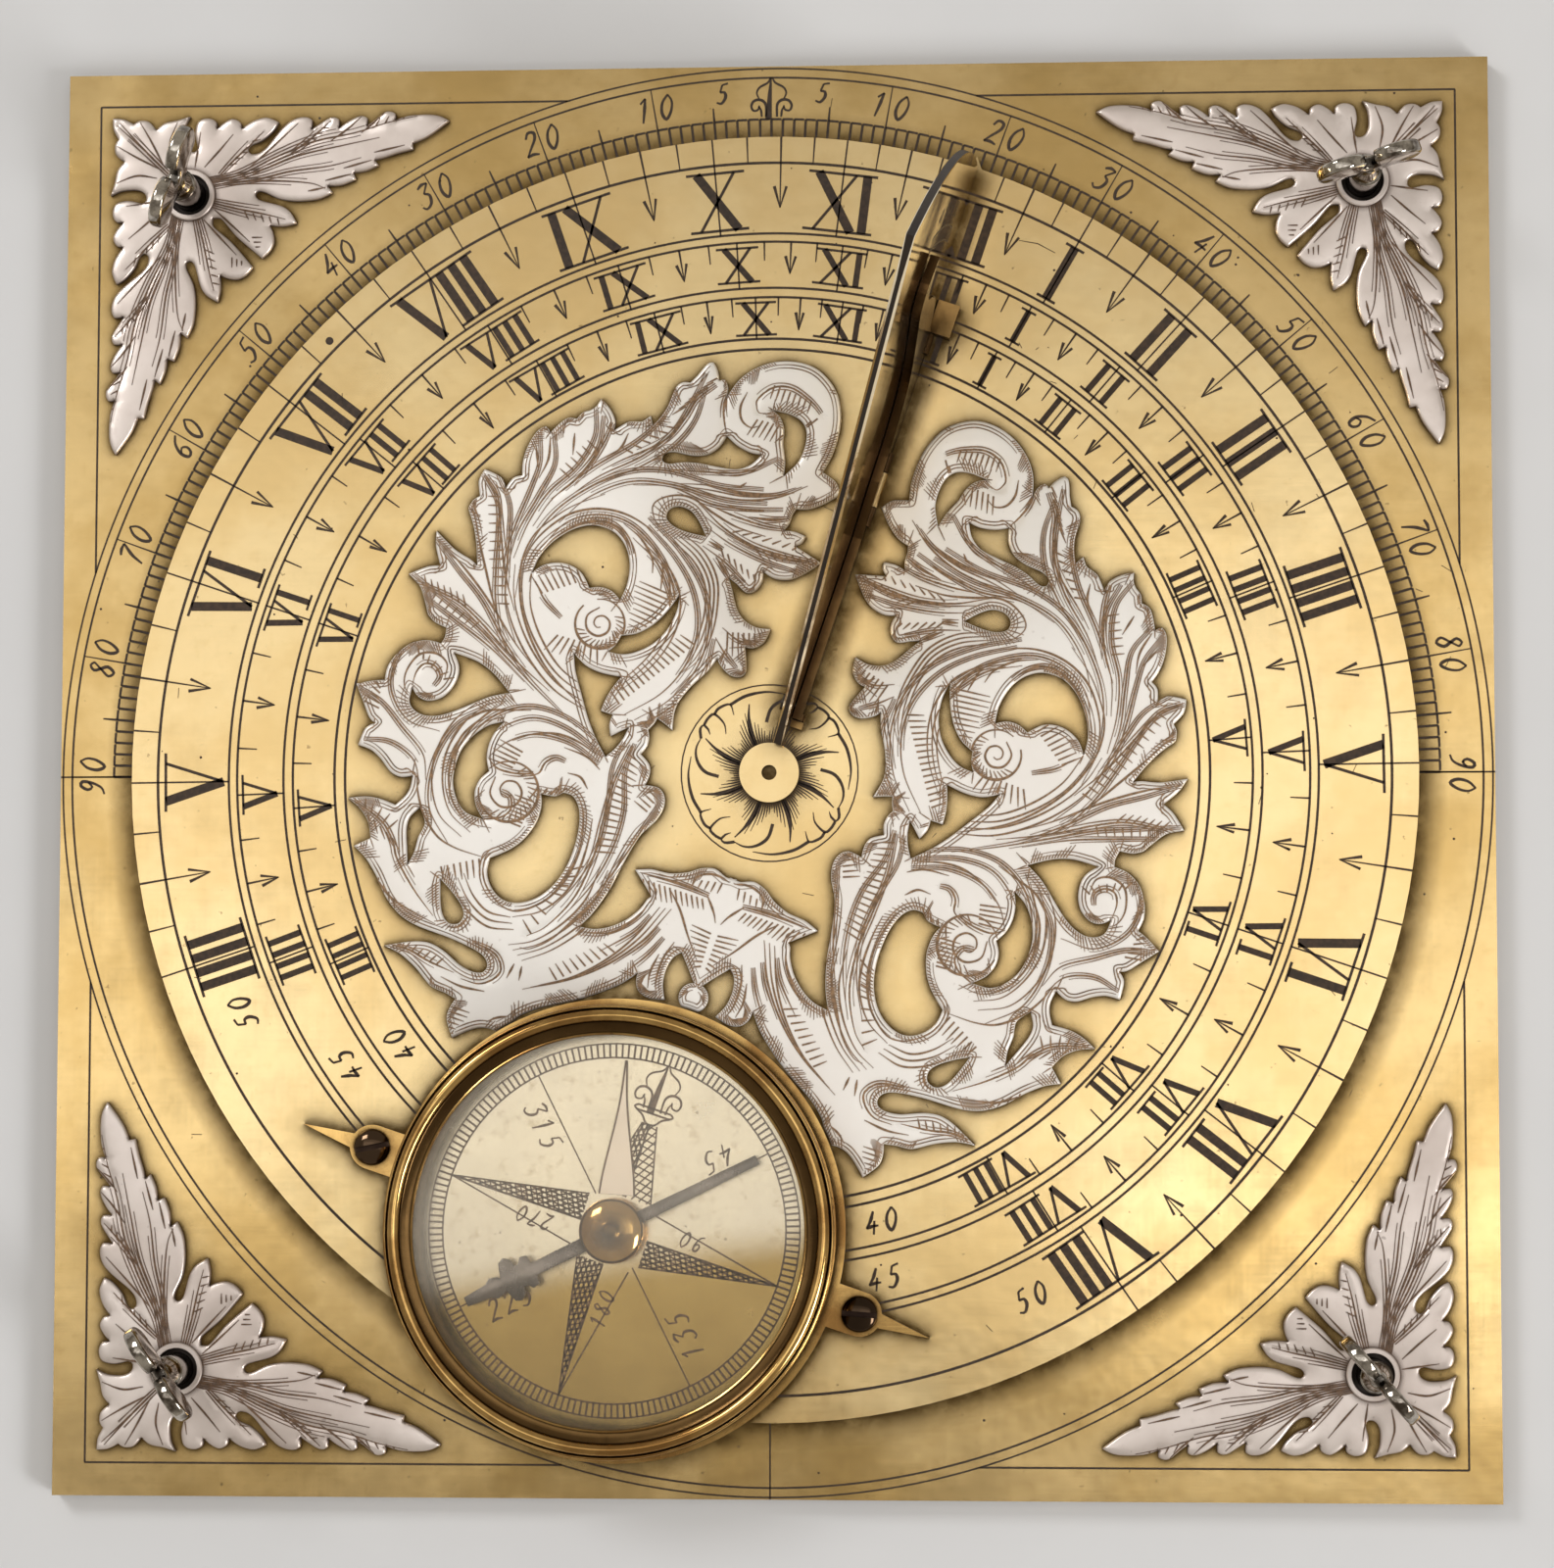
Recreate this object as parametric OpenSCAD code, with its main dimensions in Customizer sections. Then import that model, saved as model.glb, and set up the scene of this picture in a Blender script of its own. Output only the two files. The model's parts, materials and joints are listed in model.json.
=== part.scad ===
// Horizontal sundial with a declination plate, in millimetres.
// The origin is the middle of the base plate's underside, +Z is up and +Y is the 0 of the
// declination scale. The hour plate stands turned, as it was left after the last reading.

/* [Base plate] */
// Side of the square plate
base_side = 162; // [156:1:180]
// Thickness of the plate
base_t = 3; // [2.5:0.1:5]

/* [Hour plate] */
// Radius of the turning plate
dial_r = 72.4; // [71.4:0.1:73.4]
// Thickness of the turning plate
dial_t = 2; // [1.5:0.1:4]
// Running gap under the turning plate
dial_gap = 0.15; // [0.1:0.05:0.3]
// How far the index at noon points out past the edge
index_out = 1.2; // [0.6:0.1:2]
// Width of the index at the edge
index_w = 3.4; // [2:0.1:5]
// How far noon is turned from the base plate's zero, clockwise from above
noon_turn = 18.6; // [0:0.1:360]

/* [Centre pivot] */
// Radius of the stud that the hour plate turns on
stud_r = 2.5; // [2:0.1:2.9]
// Radial running fit between the stud and the hour plate
stud_fit = 0.05; // [0.02:0.01:0.1]
// Radius of the stud's head
hub_r = 3.35; // [3.2:0.05:4.2]
// Height of the stud's head
hub_h = 0.8; // [0.5:0.1:1.5]
// Clear gap under the stud's head
hub_gap = 0.1; // [0.05:0.05:0.2]
// Radius of the centre hole in the head
hub_hole_r = 0.85; // [0.5:0.05:1.2]
// Depth of the centre hole
hub_hole_d = 1.5; // [0.5:0.1:2.5]

/* [Silver ornament] */
// Thickness of the scrollwork on the hour plate
scroll_t = 0.8; // [0.5:0.1:0.9]
// Thickness of the corner ornaments
corner_t = 0.8; // [0.5:0.1:1.5]
// How far the cut edge stands outside the drawn outline
edge_grow = 0.06; // [0.02:0.01:0.15]
// Radius of the hidden pins that hold the ornaments
pin_r = 0.6; // [0.4:0.05:0.8]
// Radial play of the hidden pins in their holes
pin_fit = 0.02; // [0.01:0.01:0.05]

/* [Levelling screws] */
// Distance of each screw from the plate's middle lines
screw_at = 66.8; // [66:0.1:67.5]
// Radius of the screws
screw_r = 1.8; // [1.4:0.1:2]
// Radial running fit between a screw and its bush
screw_fit = 0.06; // [0.03:0.01:0.1]
// Radius of a bush in the plate
bush_r = 2.4; // [2.3:0.05:2.6]
// Radius of a bush's rim on the ornament
bush_rim_r = 2.95; // [2.8:0.05:3.2]
// Height of a bush's rim above the ornament
bush_rim_h = 0.35; // [0.2:0.05:0.6]
// Height of the tip above the underside when the plate rests flat
tip_up = 0.3; // [0.2:0.1:0.8]
// Height of the wings' collar above the plate's top
wing_low = 6; // [5.8:0.1:8]
// Height of the wings' tops above the plate's top
wing_high = 14; // [13:0.1:18]
// Half the span of the wings
wing_half = 6; // [5:0.1:6.5]
// Radius of a wing's round end
wing_lobe_r = 3.1; // [2.5:0.1:3.6]
// Thickness of the wings
wing_t = 1.5; // [1:0.1:2]
// Radius of the neck that the wings turn on
neck_r = 1; // [0.8:0.05:1.1]
// Running fit between the neck and the wings
neck_fit = 0.05; // [0.03:0.01:0.1]
// Length of that neck
neck_len = 2.4; // [1.5:0.1:3]

/* [Gnomon] */
// Latitude that the style is set to at rest
style_lat = 40; // [38:0.5:42]
// Thickness of the gnomon's plate
gnomon_t = 1; // [0.6:0.1:1.2]
// Distance of the latitude pivot from the dial's centre
pivot_n = 8; // [7.9:0.1:8.2]
// Height of the latitude pivot above the hour plate
pivot_h = 1.5; // [1.4:0.05:1.7]
// Radius from the latitude pivot to the back arc
arc_r = 64.3; // [60:0.1:64.3]
// Gap under the gnomon's lower edge
gnomon_lift = 0.2; // [0.1:0.05:0.4]
// Radius of the eye round the latitude pivot
eye_r = 1.25; // [1.1:0.05:1.25]
// Height of the style's lower end above the hour plate
style_low = 7.5; // [5:0.1:9]
// Radius of the latitude pin
lat_pin_r = 0.45; // [0.3:0.05:0.5]

/* [Fold hinge] */
// Radius of the hinge knuckles
knuckle_r = 0.7; // [0.6:0.05:0.75]
// Radius of the hinge pins
fold_pin_r = 0.35; // [0.25:0.05:0.45]
// Gap between the folded carrier and the scrollwork under it
fold_clear = 0.2; // [0.2:0.05:0.4]
// Radial running fit of the pins
fold_fit = 0.05; // [0.02:0.01:0.08]
// Gap between neighbouring knuckles
knuckle_gap = 0.15; // [0.1:0.05:0.3]
// Side gap between the gnomon and its carrier
carrier_gap = 0.1; // [0.05:0.05:0.15]
// Thickness of the carrier
carrier_t = 1; // [0.8:0.05:1]
// Height of the carrier's plain strip
strip_h = 2.3; // [2.2:0.05:2.6]

/* [Compass] */
// Distance of the compass from the dial's centre
compass_s = 53.9; // [53.5:0.1:54.2]
// Radius of the foot plate
foot_r = 25.8; // [25.4:0.1:26]
// Thickness of the foot plate
foot_t = 1; // [0.8:0.1:1.5]
// Distance of the ears' screws from the compass's centre
ear_at = 28.8; // [28.5:0.1:29.5]
// Radius of the ears
ear_r = 2.5; // [2.3:0.1:2.8]
// Distance of the ears' tips from the compass's centre
ear_tip = 37; // [34:0.1:38]
// Outer radius of the wall
wall_r = 24.3; // [24:0.1:24.4]
// Thickness of the wall
wall_t = 1.7; // [1.5:0.1:2]
// Height of the wall
wall_h = 6.2; // [5.8:0.1:8]
// Thickness of the card
card_t = 0.6; // [0.4:0.1:0.8]
// Thickness of the glass
glass_t = 1; // [0.8:0.1:1.5]
// Thickness of the bezel's skirt
bezel_t = 0.6; // [0.5:0.05:0.8]
// Height of the bezel
bezel_h = 4; // [3:0.1:4.5]
// Inner radius of the bezel
bezel_in = 21.6; // [21:0.1:22]
// Thickness of the bezel's lip
lip_t = 0.9; // [0.6:0.1:1.4]
// Half the length of the needle
needle_half = 18.1; // [15:0.1:19]
// Thickness of the needle
needle_t = 0.4; // [0.3:0.05:0.6]
// Height of the needle above the card
needle_up = 2.4; // [2:0.1:2.8]
// How far the needle's head is turned clockwise from the base plate's zero
needle_turn = 64; // [0:1:360]
// Radius of the cap on the needle
cap_r = 3.6; // [2.5:0.1:4]
// Radius of the pin that carries the needle
point_r = 0.4; // [0.3:0.05:0.5]

/* [Small screws] */
// Radius of a compass screw's head
head_r = 2; // [1.8:0.1:2.2]
// Height of a compass screw's head
head_h = 0.9; // [0.6:0.1:1.2]
// Radius of a compass screw's shank
shank_r = 0.9; // [0.6:0.05:1.1]
// Width of a compass screw's slot
slot_w = 0.5; // [0.3:0.05:0.7]

/* [Hidden] */

$fn = 96;
// Straight cuts run this much past the surface that they open
past = 0.5;
brass = "goldenrod";
gilt = "gold";
silver = "gainsboro";
steel = "slategray";

dial_top = base_t + dial_gap + dial_t;
// The small hinge pins stay this far inside the blocks that hold them
seat = 0.01;

// Side faces of the carrier, east of the noon line
carrier_w = gnomon_t / 2 + carrier_gap;
carrier_e = carrier_w + carrier_t;
// The fold axis, east of the noon line and above the hour plate. The knuckles are flush with the
// carrier's west face, and the folded carrier clears the scrollwork.
fold_e = carrier_w + knuckle_r;
fold_h = scroll_t + fold_clear + carrier_t - knuckle_r;

// Angle of each levelling screw's wings from +X, and the corner it stands in
WING_TURN = [72, 16, -49, -56];
CORNER = [[-1, 1], [1, 1], [1, -1], [-1, -1]];

// A point [x, y] lies on a smooth curve, and a point [x, y, 1] is a sharp corner
function at(p) = [p[0], p[1]];
function is_sharp(p) = len(p) > 2;
function wrap(list, i) = list[(i + len(list)) % len(list)];

// Direction of the curve at point i, for the span that starts at point a and ends at point b
function slope(list, i, a, b) =
    is_sharp(wrap(list, i)) ? at(wrap(list, b)) - at(wrap(list, a))
                            : (at(wrap(list, i + 1)) - at(wrap(list, i - 1))) / 2;

function hermite(p, q, m, n, t) =
    p * (2*t*t*t - 3*t*t + 1) + m * (t*t*t - 2*t*t + t) + q * (3*t*t - 2*t*t*t) + n * (t*t*t - t*t);

// The closed outline through the points, with steps straight pieces in each curved span
function outline(list, steps = 2) = [
    for (i = [0 : len(list) - 1])
        let (straight = is_sharp(list[i]) && is_sharp(wrap(list, i + 1)))
        for (k = [0 : (straight ? 0 : steps - 1)])
            hermite(at(list[i]), at(wrap(list, i + 1)), slope(list, i, i, i + 1),
                slope(list, i + 1, i, i + 1), k / steps)];

// East half of the scrollwork, east and north of the dial's centre.
// It starts under the bell, runs up the inner side, round the top volute and down the outer side.
SCROLL = [
    [7.2, -16.4, 1], [8.4, -17.8, 1], [8.8, -19], [9.8, -20.6], [11.3, -22], [13, -22.9], [14.9, -23.2, 1],
    [14, -21.5], [13.3, -19.5], [12.8, -17.5], [12.5, -15.5], [12.1, -13.2], [11.5, -11], [10.5, -9.2],
    [10.1, -7.6], [10.4, -6.3], [11.3, -5.6], [12.9, -5.8, 1], [12.8, -4.5], [13.2, -3.4], [14.5, -2.6, 1],
    [14.1, -1.5], [14.2, -0.5], [14.6, 0.3, 1], [14.2, 1.1], [14, 1.9, 1], [13, 1.6], [12, 1.2, 1],
    [12.4, 3], [12.3, 4.5], [11.5, 6.6], [10.4, 8.6], [9.7, 10.5, 1], [9.1, 9.8], [7.8, 9.1], [6.7, 9.2],
    [6.2, 9.9], [6.6, 11.2], [7.2, 12.6, 1], [6.2, 12.8], [5.3, 13.8], [5.1, 15.3, 1], [6.5, 15],
    [8.1, 15.3], [9.4, 16.3], [10.5, 18], [11.5, 19.5, 1], [10.3, 19.1], [9, 18.5], [8.1, 19], [7.7, 20.2],
    [8, 21.4, 1], [6.6, 21], [4.8, 21.4], [3.4, 22.6], [2.1, 24.2, 1], [4, 24.7], [5.5, 25.1, 1],
    [4.8, 25.8], [4.7, 26.5, 1], [6, 26.6], [7.3, 26.3, 1], [6.9, 27.4], [6.9, 28.3], [6.7, 29.2, 1],
    [5.2, 29.7], [3.7, 30.9], [2.5, 32.3, 1], [3.4, 33.4], [5.2, 34, 1], [4.8, 36], [4.8, 38.5], [5.3, 40.8],
    [6.4, 42.9], [8.1, 44.3], [10, 45], [12.2, 44.9], [14.4, 44.1], [16.3, 42.6], [17.5, 40.8],
    [18.2, 38.4, 1], [18.4, 39.7], [19, 40.5], [19.6, 40.2, 1], [20.1, 41.2], [20.9, 42], [21.5, 41.5],
    [22, 40.2], [22.6, 39, 1], [23.4, 38.8], [24, 37.9], [24.1, 35.8], [24.6, 34], [25.1, 33, 1],
    [25.7, 34, 1], [26.4, 33.1], [27.8, 32.6], [29.2, 31, 1], [29.4, 32.3], [30.4, 33.4], [31.6, 34.1, 1],
    [31.9, 33.1], [32.4, 32.5, 1], [33.1, 32], [33.5, 31.1, 1], [34.5, 30.9], [35.3, 29.8], [35.9, 28.6, 1],
    [36.6, 29.2], [37.4, 28.2], [37.8, 26.2], [37.7, 24.4], [37.3, 23.1, 1], [38.2, 22.5], [38.7, 21, 1],
    [39.4, 22], [40.5, 22.3], [41.6, 22.4, 1], [41.8, 21], [41.1, 19.4, 1], [41.7, 18.7], [41.9, 17.7, 1],
    [40.6, 15.8], [39.6, 13.8], [38.8, 11.7, 1], [39.9, 12.2], [41.9, 12.7], [44.5, 14, 1], [44, 12.4],
    [42.8, 10.5, 1], [44.2, 9.9], [45.9, 8.5, 1], [44.3, 7.6], [43.3, 6.3], [42.4, 4.9, 1], [41.4, 4.3],
    [39.9, 4.1, 1], [39.7, 3], [39.9, 2.1, 1], [41.4, 2], [43.1, 1.1], [44.3, -0.6], [44.8, -2.3],
    [44.6, -3.8, 1], [45.9, -4.3], [47.5, -5.2, 1], [46, -7], [44.9, -8.3], [44, -8.7, 1], [44.9, -9.6],
    [45.1, -11.6, 1], [43.5, -11.7], [42, -12.4], [40.7, -13.3], [39.4, -13.5], [38.1, -12.9, 1],
    [37.9, -14.4], [38.2, -15.6], [38.9, -16.8, 1], [40.8, -16.7], [42.5, -17], [44.1, -17.7, 1],
    [42.5, -18.4], [41.1, -19.6], [40.3, -21.2, 1], [41.8, -22.6, 1], [40.2, -23.4], [38.3, -25],
    [36.6, -26.8], [34.5, -28.2], [32, -28.8], [28.5, -28.9], [25.5, -29.2], [23.8, -29.7], [23.1, -30.6],
    [23.4, -31.5], [24.6, -31.8], [26.3, -31.5], [28.2, -30.7], [30.2, -30.3], [32.2, -30.8],
    [34.8, -32.1, 1], [32.9, -32.4], [30.6, -33.4], [28.5, -34.7], [26.8, -34.9], [25.3, -35.2, 1],
    [25.6, -36.4], [25.5, -37.7], [24.3, -39.4, 1], [23.1, -38.3], [21.8, -37.4], [20.5, -37.1],
    [19.4, -37.3, 1], [18.7, -36.2], [18, -34.8], [16, -33.1], [13.2, -31.5], [10.5, -29.6], [8.2, -27.6],
    [6.8, -25.8, 1], [6.6, -27], [5.9, -27.9], [4.6, -28.2], [3.1, -27.8, 1], [3.8, -26.3], [4, -24.5],
    [3.6, -22.9], [2.7, -22, 1], [2.2, -21, 1]];

// Openings in the east half
SCROLL_HOLES = [
    // Crescent in the top volute
    [[12.9, 39, 1], [11, 39.2], [9.3, 38.9], [8.3, 37.9], [7.9, 36.2], [8.1, 34.2], [9.2, 32.1, 1],
        [9.6, 33.8], [10.5, 35.8, 1], [10.9, 37.3], [11.7, 38.4]],
    // Long gap under the top volute
    [[12.2, 33.9, 1], [13.6, 33.7], [15.3, 34], [16.8, 34.7, 1], [17.2, 33.2], [18.3, 31.9], [20, 31.3],
        [21.8, 31.1], [22.9, 30.5], [22.8, 29.6], [21.9, 29.5], [20.6, 30.1], [18.8, 30.6], [16.4, 30.9],
        [14.4, 31.3], [13, 32.4]],
    // Teardrop
    [[15.2, 23, 1], [17.1, 22.8], [19, 22.9], [20.3, 23.6], [20.3, 24.7], [19.3, 25.4], [17.8, 25.3],
        [16.4, 24.3]],
    // Round opening of the upper scroll
    [[22.2, 13.1, 1], [22, 15], [22.4, 17.2], [23.4, 19], [25, 20.2], [26.7, 20.5], [28.4, 20.2],
        [30.3, 18.9], [31.9, 16.8], [32.7, 14.7], [32.8, 12.8, 1], [31.8, 14.1], [30.4, 14.9], [28.8, 15.1],
        [27.3, 14.6], [26, 13.3, 1], [24.9, 13.8], [23.5, 13.8]],
    // Crescent of the upper scroll
    [[16, 16.2, 1], [15.7, 14.2], [16, 11.8], [17.1, 9.6], [18.8, 8], [20.3, 7.3], [21.8, 7.2, 1],
        [21.2, 8.2], [20.9, 9.5, 1], [19.4, 10.2], [18, 11.6], [16.9, 13.6]],
    // Gap between the upper and lower scrolls
    [[19.2, 5.1, 1], [21.4, 4.8], [23.5, 5], [25.4, 6, 1], [24.6, 4.1], [23.1, 1.8], [21.4, -0.7],
        [19.7, -2.7], [18.1, -4.2, 1], [17.3, -2.9], [16.8, -1.5], [16.6, 0, 1], [17.4, -0.7],
        [18.3, -1.6, 1], [18.8, -0.5], [18.8, 0.7, 1], [20.2, 0.7, 1], [20.1, 2.2], [19.7, 3.8]],
    // Oval of the lower scroll
    [[20.2, -9.4], [21.4, -9.4, 1], [22.2, -10.1], [23.8, -10.3, 1], [23.3, -11.5], [23.2, -13.5],
        [23.9, -15.7], [25.1, -17.4], [26.9, -19, 1], [26.7, -20.6], [25.9, -21.9], [24.7, -22.8],
        [23.3, -23.1], [21.6, -22.6], [20, -21.3], [18.8, -19.3], [18.2, -17], [18.1, -14.5], [18.4, -12.2],
        [19.1, -10.4]],
    // Crescent of the lower scroll
    [[30.1, -3.8, 1], [31.8, -4.8], [33.1, -6.4], [33.9, -8.4], [34, -10.5], [33.6, -12.4], [32.5, -14.1],
        [31, -15.1], [28.8, -15.2, 1], [30.1, -14], [30.8, -12.5], [30.7, -11], [30, -9.8, 1],
        [30.7, -8.6], [31, -7.1], [30.8, -5.4]],
    // Gap inside the small volute
    [[30.6, -0.7, 1], [33, 0.8], [35.4, 1.6], [38.4, 1.7, 1], [37.4, 0.6], [37, -0.6], [37.2, -2.2],
        [38, -3.6], [39.4, -4.4], [40.6, -4.2], [41.5, -3.4, 1], [41.4, -5], [40.6, -5.9], [39.2, -6.2],
        [37.5, -5.7], [35.9, -4.6], [34.4, -3.3], [32.6, -1.8]],
    // Slit in the lower leaves
    [[36.2, -16, 1], [37, -17.5], [36.9, -19], [36.2, -20.9], [35.4, -22.9, 1], [35.1, -21.2],
        [35.2, -19.3], [35, -17.6]],
    // Teardrop in the lower leaves
    [[31.5, -22.9, 1], [30, -23.7], [28.4, -24.8], [27.5, -25.9], [27.7, -27.1], [28.8, -27.5],
        [29.8, -26.9], [30.6, -25.5]]];

// East half of the bell that joins the two halves at the south
BELL = [[-0.3, -12.6, 1], [0.9, -12.7], [2.3, -12.2], [3.9, -12.7], [5, -13.5], [7, -14.3], [9, -14.5],
    [10.7, -15.1, 1], [8.2, -17.2], [5.5, -19.6], [2.8, -22.2], [0.5, -24.9, 1], [-0.3, -25.2, 1]];
bell_ball_s = 26.6;
bell_ball_r = 1.6;

// Half of a corner ornament, east and north of its screw in the north-west corner.
// It starts at the corner's tip, runs along the arm's outer edge and comes back to the slot on the
// diagonal, which is its mirror line.
CORNER_HALF = [
    [-9, 9, 1], [-7.8, 8.9], [-6.6, 8.3, 1], [-6, 8.7], [-4.9, 8.6], [-4, 7.6, 1], [-3, 8.4], [-1.6, 8.7],
    [-0.2, 9.1, 1], [-0.7, 8], [-0.8, 6.2], [-0.3, 5.2], [0.5, 5], [0.9, 5.6], [0.6, 7], [0.9, 8.5],
    [2, 8.9], [2.9, 8.5], [3, 7.6, 1], [3.8, 8.3], [4.8, 8.8], [5.7, 8.4], [5.9, 7.6, 1], [7.2, 8.5],
    [8.8, 8.9], [10.1, 8.4, 1], [9.6, 7.5], [8.3, 6.4], [7.1, 5.9], [6.6, 5.3], [7, 4.7], [8, 4.8],
    [9, 5.6], [10.2, 7.1], [11.5, 8.4], [12.9, 8.9], [14, 8.6], [13.9, 7.4, 1], [15, 8.1], [16.2, 8.8],
    [17.1, 8.6], [17.1, 7.5, 1], [18.2, 8.3], [19.5, 8.9], [20.4, 8.7], [20.3, 7.7, 1], [21.4, 8.5],
    [22.6, 9.4], [23.6, 9.2], [23.6, 8.4, 1], [25.3, 8.9], [27.5, 9], [28.8, 8.8], [29.8, 8.3, 1],
    [28.5, 7.3], [27.1, 6.4], [25.6, 5.8, 1], [25.7, 5.1, 1], [24, 4.7], [22.4, 4.2], [21.2, 3.9, 1],
    [21.7, 3.3, 1], [20.3, 2.7], [18.8, 2.5, 1], [19.1, 1.7, 1], [17.5, 1.1], [15.8, 1, 1],
    [16.4, 0.2, 1], [14.8, -0.5], [12.3, -0.7], [10.3, -0.4], [8.8, 0.3], [7.9, 0.5], [7.5, 0],
    [7.9, -0.6], [9.2, -1], [10.6, -1.4], [11.6, -2.1], [12.3, -3.3, 1], [10.9, -3.6], [9.2, -3.5, 1],
    [9.6, -4.5], [9.7, -5.6], [9.2, -6.6], [8.4, -7.3, 1], [6.6, -5.8], [5.3, -4.6], [4.3, -3.4],
    [3.5, -2.6], [2.6, -2.6, 1]];

module base_plate() {
    color(brass) difference() {
        translate([-base_side / 2, -base_side / 2, 0]) cube([base_side, base_side, base_t]);
        translate([0, 0, -past]) cylinder(r = stud_r + pin_fit, h = base_t + 2 * past);
        for (c = CORNER) {
            translate([c[0] * screw_at, c[1] * screw_at, -past])
                cylinder(r = bush_r + pin_fit, h = base_t + 2 * past);
            corner_pin_places(c) translate([0, 0, -past]) cylinder(r = pin_r + pin_fit, h = base_t + 2 * past);
        }
    }
}

// The stud is riveted in the base plate, and its head keeps the hour plate down
module pivot_stud() {
    head_z = dial_top + hub_gap;
    color(gilt) difference() {
        union() {
            cylinder(r = stud_r, h = head_z + hub_h / 2);
            translate([0, 0, head_z]) cylinder(r = hub_r, h = hub_h);
        }
        translate([0, 0, head_z + hub_h - hub_hole_d]) cylinder(r = hub_hole_r, h = hub_hole_d + past);
    }
}

// Puts what is drawn for the north-west corner into corner c
module in_corner(c) {
    translate([c[0] * screw_at, c[1] * screw_at, 0])
        mirror([c[0] > 0 ? 1 : 0, 0, 0]) mirror([0, c[1] < 0 ? 1 : 0, 0]) children();
}

// Two hidden pins hold each corner ornament
corner_pin_out = 14;
corner_pin_in = 4;
module corner_pin_places(c) {
    in_corner(c) {
        translate([corner_pin_out, corner_pin_in, 0]) children();
        translate([-corner_pin_in, -corner_pin_out, 0]) children();
    }
}

module corner_ornament(c) {
    color(silver) in_corner(c) translate([0, 0, base_t]) linear_extrude(corner_t) offset(delta = edge_grow)
        difference() {
            union() {
                polygon(outline(CORNER_HALF));
                mirror([1, 1]) polygon(outline(CORNER_HALF));
            }
            circle(r = bush_r + pin_fit + edge_grow);
        }
}

module corner_pins() {
    color(silver) for (c = CORNER) corner_pin_places(c) cylinder(r = pin_r, h = base_t);
}

// Threaded bushes of the levelling screws, with a rim on each ornament
module screw_bushes() {
    top = base_t + corner_t;
    color(silver) for (c = CORNER) translate([c[0] * screw_at, c[1] * screw_at, 0]) difference() {
        union() {
            cylinder(r = bush_r, h = top + bush_rim_h);
            translate([0, 0, top]) cylinder(r = bush_rim_r, h = bush_rim_h);
        }
        translate([0, 0, -past]) cylinder(r = screw_r + screw_fit, h = top + bush_rim_h + 2 * past);
    }
}

module screw_shank(c) {
    collar = base_t + wing_low;
    color(steel) translate([c[0] * screw_at, c[1] * screw_at, 0]) {
        translate([0, 0, tip_up]) cylinder(r = screw_r, h = collar - tip_up);
        translate([0, 0, collar - past]) cylinder(r = neck_r, h = neck_len + past);
    }
}

// The wings stand on the shank's shoulder and turn on its neck
module wing(c, turn) {
    collar = base_t + wing_low;
    lobe = wing_half - wing_lobe_r;
    lobe_z = base_t + wing_high - wing_lobe_r;
    color(steel) translate([c[0] * screw_at, c[1] * screw_at, 0]) rotate([0, 0, turn]) difference() {
        union() {
            translate([0, 0, collar]) cylinder(r = screw_r, h = neck_len + past);
            rotate([90, 0, 0]) translate([0, 0, -wing_t / 2]) linear_extrude(wing_t) union() {
                translate([lobe, lobe_z]) circle(r = wing_lobe_r);
                translate([-lobe, lobe_z]) circle(r = wing_lobe_r);
                polygon([[-screw_r, collar], [screw_r, collar], [lobe + wing_lobe_r / 2, lobe_z - wing_lobe_r / 2],
                    [0, lobe_z + wing_lobe_r / 4], [-lobe - wing_lobe_r / 2, lobe_z - wing_lobe_r / 2]]);
            }
        }
        translate([0, 0, collar - past]) cylinder(r = neck_r + neck_fit, h = neck_len + past + 3 * neck_fit);
    }
}

// Places what is drawn from the hour plate's top, with noon along +Y
module on_dial() {
    rotate([0, 0, -noon_turn]) translate([0, 0, dial_top]) children();
}

// Places what is drawn from the compass's centre, standing on the hour plate
module on_compass() {
    on_dial() translate([0, -compass_s, 0]) children();
}

// Hidden pins under the scrollwork, east half; the west half mirrors them
SCROLL_PINS = [[12, 27.8], [34, 21], [13.5, -14], [29, -32.3]];
module scroll_pin_places() {
    for (p = SCROLL_PINS) for (side = [-1, 1]) translate([side * p[0], p[1], 0]) children();
}

// A small oval sight hole near the noon line
sight_n = 24.9;
sight_e = 1.2;
sight_len = 1.7;
sight_w = 0.8;
module hour_plate() {
    color(gilt) on_dial() difference() {
        union() {
            translate([0, 0, -dial_t]) cylinder(r = dial_r, h = dial_t);
            translate([0, 0, -dial_t]) linear_extrude(dial_t)
                polygon([[-index_w / 2, dial_r - 1], [index_w / 2, dial_r - 1], [0, dial_r + index_out]]);
        }
        translate([0, 0, -dial_t - past]) {
            cylinder(r = stud_r + stud_fit, h = dial_t + 2 * past);
            scroll_pin_places() cylinder(r = pin_r + pin_fit, h = dial_t + 2 * past);
            ear_places() cylinder(r = shank_r + pin_fit, h = dial_t + 2 * past);
            translate([sight_e, sight_n - sight_len / 2 + sight_w / 2, 0]) {
                cylinder(r = sight_w / 2, h = dial_t + 2 * past);
                translate([0, sight_len - sight_w, 0]) cylinder(r = sight_w / 2, h = dial_t + 2 * past);
                translate([-sight_w / 2, 0, 0]) cube([sight_w, sight_len - sight_w, dial_t + 2 * past]);
            }
        }
    }
}

module scroll_half() {
    difference() {
        polygon(outline(SCROLL));
        for (hole = SCROLL_HOLES) polygon(outline(hole));
    }
}

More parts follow.
